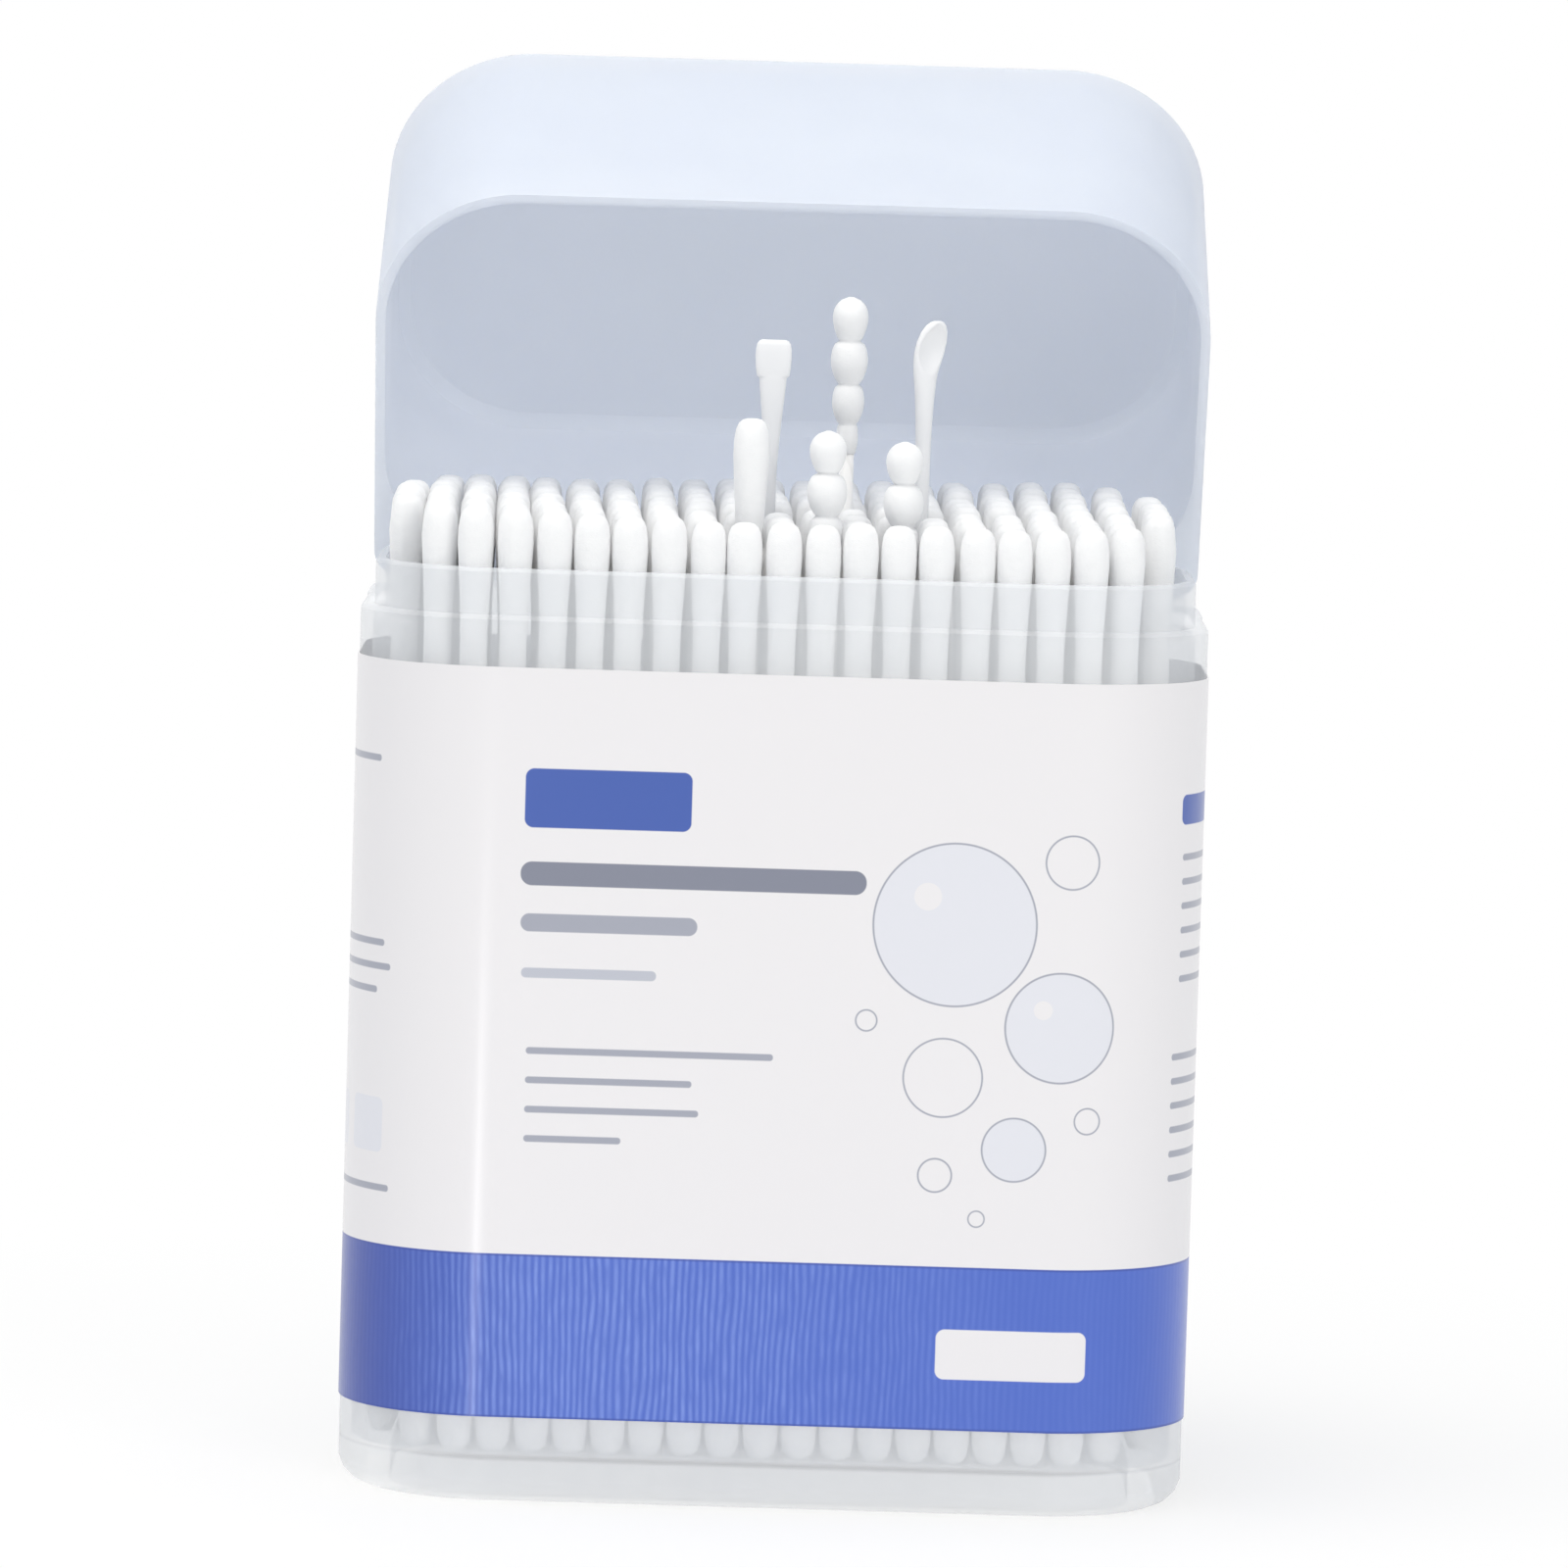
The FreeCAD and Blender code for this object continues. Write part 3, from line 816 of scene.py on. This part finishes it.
@dataclass
class MouldedShell:
    """A moulded shell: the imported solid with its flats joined, its edges eased and its skin smooth."""

    node: str
    piece: str
    body: str
    ease: float = 0.14
    crease: float = 40.0
    flat: float = 0.4
    shades: bool = True
    slot: str = "frosted_plastic"

    def _merged(self, frame: Frame) -> Piece:
        """Copies the node's triangles and joins them.

        Args:
            frame: The loaded frame.

        Returns:
            The copy as an object.
        """
        work = joined(frame["nodes"][self.node].data)
        bmesh.ops.dissolve_limit(work, angle_limit=math.radians(self.flat), verts=work.verts, edges=work.edges)
        mesh = bpy.data.meshes.new(self.piece)
        work.to_mesh(mesh)
        work.free()
        return placed(self.piece, mesh)

    def _eased(self, piece: Piece) -> None:
        """Rounds sharp edges slightly and smooths the rest.

        Args:
            piece: The piece.
        """
        if self.ease:
            bevel = piece.modifiers.new("ease", "BEVEL")
            bevel.width = self.ease * MM
            bevel.segments = 2
            bevel.limit_method = "ANGLE"
            bevel.angle_limit = math.radians(self.crease)
            plain_mesh(piece)
        piece.data.polygons.foreach_set("use_smooth", [True] * len(piece.data.polygons))
        piece.data.set_sharp_from_angle(angle=math.radians(self.crease))

    def _map(self, piece: Piece) -> None:
        """Plain plastic needs no map."""

    def build(self, frame: Frame, finish: FrostedPlastic | PrintedFilm) -> Piece:
        """Builds the shell.

        Args:
            frame: The loaded frame.
            finish: Its finish.

        Returns:
            The piece.
        """
        piece = self._merged(frame)
        self._eased(piece)
        self._map(piece)
        piece.visible_shadow = self.shades
        mount(piece, finish.material(), self.body, [self.node])
        return piece


@dataclass
class WrapLabel(MouldedShell):
    """The film sleeve, with a map that unrolls it from the middle of its front."""

    node: str = "wrap_label"
    piece: str = "label_sleeve"
    body: str = "box"
    ease: float = 0.0
    shades: bool = False
    slot: str = "label_film"
    corner: float = 12.1

    def _around(self, x: float, y: float, half_width: float, half_depth: float) -> float:
        """Distance round the sleeve from the middle of its front to a point of it.

        Args:
            x: The point's place across, in metres.
            y: The point's place in depth, in metres.
            half_width: Half the sleeve's width.
            half_depth: Half the sleeve's depth.

        Returns:
            The distance, negative to the left.
        """
        radius = self.corner * MM
        flat_x, flat_y = half_width - radius, half_depth - radius
        side = abs(x)
        quarter = radius * math.pi / 2
        if side <= flat_x:
            distance = side if y < 0 else flat_x + quarter + 2 * flat_y + quarter + flat_x - side
        elif abs(y) <= flat_y:
            distance = flat_x + quarter + flat_y + y
        elif y < 0:
            distance = flat_x + radius * math.atan2(side - flat_x, -y - flat_y)
        else:
            distance = flat_x + quarter + 2 * flat_y + radius * math.atan2(y - flat_y, side - flat_x)
        return math.copysign(distance, x)

    def _map(self, piece: Piece) -> None:
        """Adds the map: metres round the sleeve and up.

        Args:
            piece: The piece.
        """
        low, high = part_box(self.node)
        half_width, half_depth = (high.x - low.x) / 2, (high.y - low.y) / 2
        layer = piece.data.uv_layers.new(name="unrolled")
        for loop in piece.data.loops:
            spot = piece.data.vertices[loop.vertex_index].co
            layer.data[loop.index].uv = (self._around(spot.x, spot.y, half_width, half_depth), spot.z)


# Outline of a wound head from its tip: millimetres down, and radius
WOUND_HEAD = ((0.0, 0.42), (0.1, 0.76), (0.36, 1.06), (0.85, 1.28), (1.7, 1.41), (2.9, 1.45), (4.6, 1.36),
              (6.6, 1.23), (8.6, 1.13), (10.2, 1.08))


@dataclass
class SwabBlock:
    """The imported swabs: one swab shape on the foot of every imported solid.

    The block settles a little: swabs at the back stand higher and lean to the left, those in the middle of
    the front stand lower. Sizes are in millimetres, sway is in radians, and reach runs from the middle of the
    block to its last row.
    """

    rows: tuple[int, ...]
    piece: str
    sides: int
    tip_rings: tuple[int, ...]
    foot_rings: tuple[int, ...]
    seed: int = 7
    length: float = 75.7
    rise: float = 0.9
    dip: float = 0.85
    lean: float = 1.5
    unevenness: float = 0.12
    sway: float = 0.002
    reach: float = 14.53

    def _feet(self, frame: Frame) -> list[Vector]:
        """Middles of the feet of all swabs in the rows.

        Args:
            frame: The loaded frame.

        Returns:
            One point for each swab.
        """
        feet = []
        for row in self.rows:
            work = joined(frame["nodes"][f"swab_row_{row:02d}"].data)
            waiting = set(work.verts)
            while waiting:
                front, island = [waiting.pop()], []
                while front:
                    vert = front.pop()
                    island.append(vert.co.copy())
                    for edge in vert.link_edges:
                        other = edge.other_vert(vert)
                        if other in waiting:
                            waiting.discard(other)
                            front.append(other)
                low = min(point.z for point in island)
                ends = [(min(p[axis] for p in island) + max(p[axis] for p in island)) / 2 for axis in (0, 1)]
                feet.append(Vector((*ends, low)))
            work.free()
        return sorted(feet, key=lambda foot: (round(foot.y, 5), foot.x))

    def _swab(self) -> Piece:
        """Builds one upright swab on the origin, to be repeated.

        Returns:
            The swab.
        """
        profile = [WOUND_HEAD[number] for number in self.foot_rings]
        for number in reversed(self.tip_rings):
            down, radius = WOUND_HEAD[number]
            profile.append((self.length - down, radius))
        rings = [circle(Vector((0, 0, height * MM)), radius * MM, self.sides) for height, radius in profile]
        return lofted(self.piece + "_pattern", rings)

    def _tree(self) -> bpy.types.NodeTree:
        """Builds the node tree that repeats a swab on points, with its inputs named.

        Returns:
            The tree.
        """
        tree = bpy.data.node_groups.new(self.piece + "_layout", "GeometryNodeTree")
        sockets = {"Feet": "Geometry", "Swab": "Object", "Length": "Float", "Reach": "Float", "Rise": "Float",
                   "Dip": "Float", "Lean": "Float", "Unevenness": "Float", "Sway": "Float", "Seed": "Int",
                   "Finish": "Material"}
        for name, kind in sockets.items():
            tree.interface.new_socket(name, in_out="INPUT", socket_type="NodeSocket" + kind)
        tree.interface.new_socket("Swabs", in_out="OUTPUT", socket_type="NodeSocketGeometry")
        bench = NodeBench(tree)
        given = bench.add("NodeGroupInput").outputs
        sizes = {name: Signal(bench, given[name]) for name, kind in sockets.items() if kind == "Float"}
        x, y, _ = bench.parts(bench.add("GeometryNodeInputPosition").outputs[0])
        # From the front row to the back; from the left to near the middle; away from the left wall
        back = (y / sizes["Reach"] * 0.5 + 0.5).held()
        inner = (x / sizes["Reach"] * 0.8 + 1.2).held()
        loose = (x / sizes["Reach"] * 1.2 + 2.52).held()
        uneven = bench.add("FunctionNodeRandomValue", None, {2: -sizes["Unevenness"], 3: sizes["Unevenness"],
                                                             "Seed": given["Seed"]})
        extra = back * sizes["Rise"] - (1 - back) * sizes["Dip"] * (inner * 0.75 + 0.25)
        stretch = (extra + Signal(bench, uneven.outputs[1])) / sizes["Length"] + 1
        tilt = -(back * 0.85 + 0.15) * loose * sizes["Lean"] / sizes["Length"]
        sway = bench.add("FunctionNodeRandomValue", {"data_type": "FLOAT_VECTOR"}, {
            0: bench.vector(-sizes["Sway"], -sizes["Sway"]), 1: bench.vector(sizes["Sway"], sizes["Sway"]),
            "Seed": given["Seed"]})
        sway_x, sway_y, _ = bench.parts(sway.outputs[0])
        spin = bench.add("FunctionNodeRandomValue", None, {2: 0.0, 3: 2 * math.pi, "Seed": given["Seed"]})
        shape = bench.add("GeometryNodeObjectInfo", None, {"Object": given["Swab"]})
        copies = bench.add("GeometryNodeInstanceOnPoints", None, {
            "Points": given["Feet"], "Instance": shape.outputs["Geometry"],
            "Rotation": bench.vector(z=spin.outputs[1]), "Scale": bench.vector(1.0, 1.0, stretch)})
        leaning = bench.add("GeometryNodeRotateInstances", None, {
            "Instances": copies.outputs[0], "Rotation": bench.vector(sway_x, tilt + sway_y),
            "Local Space": False})
        real = bench.add("GeometryNodeRealizeInstances", None, {0: leaning.outputs[0]})
        dressed = bench.add("GeometryNodeSetMaterial", None, {"Geometry": real.outputs[0],
                                                              "Material": given["Finish"]})
        bench.add("NodeGroupOutput", None, {0: dressed.outputs[0]})
        return tree

    def build(self, frame: Frame, material: Material) -> Piece:
        """Builds the block.

        Args:
            frame: The loaded frame.
            material: The cotton.

        Returns:
            The piece.
        """
        mesh = bpy.data.meshes.new(self.piece)
        mesh.from_pydata(self._feet(frame), [], [])
        piece = placed(self.piece, mesh)
        pattern = self._swab()
        layout = piece.modifiers.new("layout", "NODES")
        layout.node_group = self._tree()
        lengths = ("length", "reach", "rise", "dip", "lean", "unevenness")
        given = {name.title(): getattr(self, name) * MM for name in lengths}
        given |= {"Swab": pattern, "Sway": self.sway, "Seed": self.seed, "Finish": material}
        for item in layout.node_group.interface.items_tree:
            if item.in_out == "INPUT" and item.name in given:
                layout[item.identifier] = given[item.name]
        plain_mesh(piece)
        old = pattern.data
        bpy.data.objects.remove(pattern)
        bpy.data.meshes.remove(old)
        mount(piece, material, "box", [f"swab_row_{row:02d}" for row in self.rows])
        return piece


@dataclass(frozen=True)
class Bead:
    """One bead of a beaded head, in millimetres.

    Its sizes run from the tip of the head: where it starts and ends, its widest radius, and its radius
    where the next bead starts.
    """

    start: float
    end: float
    radius: float
    neck: float


THREE_BEADS = (Bead(0.0, 3.4, 1.48, 0.8), Bead(3.4, 6.8, 1.6, 0.85), Bead(6.8, 10.2, 1.42, 0.65))
FOUR_BEADS = (Bead(0.0, 3.55, 1.44, 0.84), Bead(3.55, 7.05, 1.5, 0.82), Bead(7.05, 10.25, 1.3, 0.7),
              Bead(10.25, 12.7, 0.88, 0.62))

# Radii of the sticks in millimetres
THICK_STICK = 1.06
THIN_STICK = 0.6


@dataclass
class ProudSwab:
    """A swab that stands above the rest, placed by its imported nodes."""

    name: str
    stick_radius: float
    beads: tuple[Bead, ...] = ()
    sides: int = 40
    bead_steps: int = 14
    bead_belly: float = 0.45
    bead_fullness: float = 0.8

    def _middle(self, node: str) -> tuple[Vector, float, float]:
        """Finds the axis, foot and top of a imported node.

        Args:
            node: The node.

        Returns:
            A point on the axis at height 0, the lowest and the highest height.
        """
        low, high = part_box(node)
        return Vector(((low.x + high.x) / 2, (low.y + high.y) / 2, 0)), low.z, high.z

    def _head(self) -> list[tuple[float, float]]:
        """Works out the upper head's outline.

        Returns:
            Millimetres from the tip, and radius, for each step.
        """
        if not self.beads:
            return list(WOUND_HEAD)
        outline = [(0.0, 0.2)]
        for number, bead in enumerate(self.beads):
            upper = 0.0 if number == 0 else self.beads[number - 1].neck
            widest = bead.start + (bead.end - bead.start) * self.bead_belly
            for step in range(1, self.bead_steps + 1):
                down = bead.start + (bead.end - bead.start) * (step / self.bead_steps)
                if down <= widest:
                    swelling = math.sqrt(max(0.0, 1 - ((widest - down) / (widest - bead.start)) ** 2))
                    radius = upper + (bead.radius - upper) * swelling
                else:
                    fall = (down - widest) / (bead.end - widest)
                    narrowing = math.cos(fall * math.pi / 2) ** self.bead_fullness
                    radius = bead.neck + (bead.radius - bead.neck) * narrowing
                outline.append((down, radius))
        return outline

    def _turned(self, label: str, outline: Iterable[tuple[float, float]], axis: Vector) -> Piece:
        """A round piece from an outline of heights and radii in metres."""
        return lofted(label, [circle(axis + Vector((0, 0, up)), radius, self.sides) for up, radius in outline])

    def build(self, cotton: Material, paper: Material) -> None:
        """Builds the stick and both heads.

        Args:
            cotton: The wound cotton.
            paper: The rolled paper.
        """
        axis, low, high = self._middle(self.name + "_stick")
        radius = self.stick_radius * MM
        stick = self._turned(self.name + "_shaft", [(low, radius), (high, radius)], axis)
        mount(stick, paper, "box", [self.name + "_stick"])
        _, _, top = self._middle(self.name + "_upper_head")
        outline = [(top - down * MM, wide * MM) for down, wide in self._head()]
        upper = self._turned(self.name + "_tip", reversed(outline), axis)
        mount(upper, cotton, "box", [self.name + "_upper_head"])
        self._foot(cotton, axis)

    def _foot(self, cotton: Material, axis: Vector) -> None:
        """Builds the lower head.

        Args:
            cotton: The wound cotton.
            axis: A point on the swab's axis.
        """
        _, foot, _ = self._middle(self.name + "_lower_head")
        lower = self._turned(self.name + "_foot", [(foot + down * MM, wide * MM) for down, wide in WOUND_HEAD], axis)
        mount(lower, cotton, "box", [self.name + "_lower_head"])


class Spoon(Enum):
    """What a moulded stick ends in."""

    PADDLE = "paddle"
    SCOOP = "scoop"


# Outline of a moulded tip from its top: millimetres down, half width, half thickness
PADDLE_TIP = ((0.0, 0.95, 0.16), (0.1, 1.18, 0.28), (0.35, 1.36, 0.38), (0.8, 1.44, 0.44), (1.5, 1.45, 0.47),
              (2.3, 1.4, 0.48), (2.9, 1.3, 0.48), (3.05, 1.1, 0.5), (4.0, 1.03, 0.52), (6.0, 0.84, 0.55),
              (8.0, 0.67, 0.56), (10.0, 0.54, 0.54), (11.5, 0.5, 0.5))
SCOOP_TIP = ((0.0, 0.3, 0.16), (0.1, 0.62, 0.3), (0.4, 0.98, 0.42), (0.9, 1.25, 0.5), (1.7, 1.42, 0.56),
             (2.6, 1.42, 0.58), (3.5, 1.28, 0.6), (4.6, 1.05, 0.64), (6.0, 0.86, 0.66), (8.0, 0.7, 0.64),
             (10.0, 0.62, 0.6), (11.5, 0.6, 0.6))


@dataclass
class SpoonSwab(ProudSwab):
    """A moulded stick with a flat paddle or a dished scoop at its top and cotton at its foot.

    Sizes are in millimetres, and the dish's width is a share of the scoop's. The hook bends the tip aside.
    """

    spoon: Spoon = Spoon.PADDLE
    turn: float = 0.0
    dish: float = 0.75
    dish_middle: float = 2.2
    dish_length: float = 2.0
    dish_width: float = 0.86
    dish_fullness: float = 0.8
    hook: float = 0.0
    hook_length: float = 4.5
    hook_curve: float = 1.4
    steps: int = 4

    def _dished(self, down: float, across: float) -> float:
        """Depth of the dish at a place of the scoop.

        Args:
            down: Millimetres from the top.
            across: Share of the half width.

        Returns:
            The depth in millimetres.
        """
        reach = ((down - self.dish_middle) / self.dish_length) ** 2 + (across / self.dish_width) ** 2
        return self.dish * max(0.0, 1 - reach) ** self.dish_fullness

    def _ring(self, axis: Vector, height: float, down: float, width: float, depth: float) -> list[Vector]:
        """Works out one level ring of the stick, dished in front where the scoop is.

        Args:
            axis: A point on the swab's axis.
            height: The ring's height in metres.
            down: Millimetres from the top.
            width: Half the ring's width in millimetres.
            depth: Half its thickness in millimetres.

        Returns:
            The ring's points.
        """
        aside = self.hook * max(0.0, 1 - down / self.hook_length) ** self.hook_curve
        points = []
        for number in range(self.sides):
            angle = 2 * math.pi * number / self.sides
            across, along = width * math.cos(angle), depth * math.sin(angle)
            if self.spoon is Spoon.SCOOP and along < 0:
                along += self._dished(down, math.cos(angle))
            points.append(axis + Matrix.Rotation(self.turn, 3, "Z") @ Vector((across * MM, along * MM, 0))
                          + Vector((aside * MM, 0, height)))
        return points

    def _fine(self) -> list[tuple[float, float, float]]:
        """Divides the tip's outline into more steps.

        Returns:
            Millimetres from the top, half width and half thickness, for each step.
        """
        tip = PADDLE_TIP if self.spoon is Spoon.PADDLE else SCOOP_TIP
        fine = [tip[0]]
        for first, second in zip(tip, tip[1:]):
            for step in range(1, self.steps + 1):
                fine.append(tuple(a + (b - a) * step / self.steps for a, b in zip(first, second)))
        return fine

    def build(self, cotton: Material, moulded: Material) -> None:
        """Builds the stick and the lower head.

        Args:
            cotton: The wound cotton.
            moulded: The moulded plastic.
        """
        axis, _, _ = self._middle(self.name + "_lower_head")
        _, low, high = self._middle(self.name + "_stick")
        rings = [self._ring(axis, high - down * MM, down, width, depth) for down, width, depth in self._fine()]
        rings.append(self._ring(axis, low, (high - low) / MM, self.stick_radius, self.stick_radius))
        stick = lofted(self.name + "_shaft", list(reversed(rings)))
        mount(stick, moulded, "box", [self.name + "_stick"])
        self._foot(cotton, axis)


@dataclass(frozen=True)
class Lamp:
    """A soft lamp: metres, watts, and the height that it aims at on the object's axis."""

    name: str
    spot: tuple[float, float, float]
    size: tuple[float, float]
    power: float
    colour: Colour = WHITE
    aim: float = 0.06


KEY_LAMP = Lamp("key", (0.45, -0.65, 0.37), (0.4, 0.4), 1.55, WARM_WHITE)
TOP_LAMP = Lamp("top", (-0.2, -0.15, 0.8), (0.7, 0.5), 4.0, WARM_WHITE)
GLOSS_LAMP = Lamp("strip", (-0.141, -0.606, -0.06), (0.04, 0.07), 0.13, aim=0.02)


@dataclass
class Studio:
    """Plain pale floor, soft lamps and the photograph's camera.

    Sizes are in metres, angles in degrees, and the focal length and the frame's width in pixels.
    """

    place: tuple[float, float, float] = (-0.00103, -0.79024, 0.12466)
    yaw: float = 0.1
    pitch: float = 4.92
    roll: float = 1.74
    focal: float = 10000.0
    frame_width: float = 1600.0
    sky: Colour = (0.89, 0.935, 1.0)
    sky_strength: float = 0.63
    floor_half: float = 4.0

    def _camera(self) -> None:
        """Sets up the camera."""
        yaw, pitch, roll = (math.radians(angle) for angle in (self.yaw, self.pitch, self.roll))
        ahead = Vector((math.sin(yaw) * math.cos(pitch), math.cos(yaw) * math.cos(pitch), -math.sin(pitch)))
        right = Vector((math.cos(yaw), -math.sin(yaw), 0))
        up = right.cross(ahead)
        rolled_right = right * math.cos(roll) + up * math.sin(roll)
        rolled_up = up * math.cos(roll) - right * math.sin(roll)
        data = bpy.data.cameras.new("camera")
        data.sensor_width = 36.0
        data.lens = self.focal / self.frame_width * data.sensor_width
        data.clip_end = 20.0
        camera = placed("camera", data)
        turned = Matrix((rolled_right, rolled_up, -ahead)).transposed().to_4x4()
        camera.matrix_world = Matrix.Translation(self.place) @ turned
        bpy.context.scene.camera = camera

    def _light(self, lamp: Lamp, only: Piece | None = None) -> None:
        """Adds a lamp.

        Args:
            lamp: The lamp.
            only: The one piece that it lights, or None for all.
        """
        data = bpy.data.lights.new(lamp.name, "AREA")
        data.shape = "RECTANGLE"
        data.size, data.size_y = lamp.size
        data.energy = lamp.power
        data.color = lamp.colour
        item = placed(lamp.name, data)
        towards = Vector((0, 0, lamp.aim)) - Vector(lamp.spot)
        item.matrix_world = Matrix.Translation(lamp.spot) @ towards.to_track_quat("-Z", "Y").to_matrix().to_4x4()
        if only:
            lit = bpy.data.collections.new(lamp.name + "_lights")
            lit.objects.link(only)
            item.light_linking.receiver_collection = lit
            item.light_linking.blocker_collection = lit

    def _world(self) -> None:
        """A pale world that is plain white to the camera, in gloss and through clear parts."""
        world = bpy.data.worlds.new("studio_world")
        bpy.context.scene.world = world
        world.use_nodes = True
        bench = NodeBench(world.node_tree)
        bench.tree.nodes.clear()
        sky = bench.add("ShaderNodeBackground", None, {"Color": self.sky, "Strength": self.sky_strength})
        white = bench.add("ShaderNodeBackground", None, {"Color": WHITE, "Strength": 1.0})
        mixed = bench.add("ShaderNodeMixShader", None, {0: bench.seen(), 1: sky.outputs[0], 2: white.outputs[0]})
        bench.add("ShaderNodeOutputWorld", None, {0: mixed.outputs[0]})

    def _floor(self) -> None:
        """Adds the floor."""
        half = self.floor_half
        mesh = bpy.data.meshes.new("floor")
        mesh.from_pydata([(-half, -half, 0), (half, -half, 0), (half, half, 0), (-half, half, 0)], [], [(0, 1, 2, 3)])
        mesh.materials.append(StudioFloor().material())
        placed("floor", mesh)

    def build(self, label: Piece) -> None:
        """Builds the studio.

        Args:
            label: The label, which gets its gloss line from a lamp of its own.
        """
        self._camera()
        self._world()
        self._floor()
        self._light(KEY_LAMP)
        self._light(TOP_LAMP)
        self._light(GLOSS_LAMP, only=label)
        bpy.context.scene.view_settings.view_transform = "Standard"


def main() -> None:
    """Builds the whole scene."""
    logging.basicConfig(level=logging.INFO)
    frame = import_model()
    body_plastic = FrostedPlastic("frosted_body", srgb(243, 245, 248), srgb(234, 238, 244), 0.34,
                                  glow=0.0, groove=3.7)
    lid_plastic = FrostedPlastic("frosted_lid", srgb(232, 239, 252), srgb(225, 233, 251), 0.62)
    cotton = WoundCotton("wound_cotton").material()
    paper = RolledPaper("rolled_paper").material()
    moulded = MouldedStick("moulded_stick").material()
    MouldedShell("box_body", "box_shell", "box", shades=False).build(frame, body_plastic)
    MouldedShell("flip_lid", "lid_shell", "lid").build(frame, lid_plastic)
    label = WrapLabel().build(frame, PrintedFilm("printed_film"))
    Studio().build(label)
    SwabBlock((1,), "front_swabs", 20, tuple(range(10)), tuple(range(10))).build(frame, cotton)
    SwabBlock(tuple(range(2, 11)), "packed_swabs", 8, (0, 1, 2, 3, 5, 7, 9), (1, 4, 9), seed=11).build(frame, cotton)
    ProudSwab("round_swab", THICK_STICK).build(cotton, paper)
    ProudSwab("beaded_swab", THIN_STICK, THREE_BEADS).build(cotton, paper)
    ProudSwab("side_beaded_swab", THIN_STICK, THREE_BEADS).build(cotton, paper)
    ProudSwab("tall_beaded_swab", THIN_STICK, FOUR_BEADS).build(cotton, paper)
    SpoonSwab("paddle_swab", THIN_STICK, spoon=Spoon.PADDLE).build(cotton, moulded)
    SpoonSwab("scoop_swab", THIN_STICK, spoon=Spoon.SCOOP, turn=math.radians(35), hook=0.85).build(cotton, moulded)


if __name__ == "__main__":
    main()
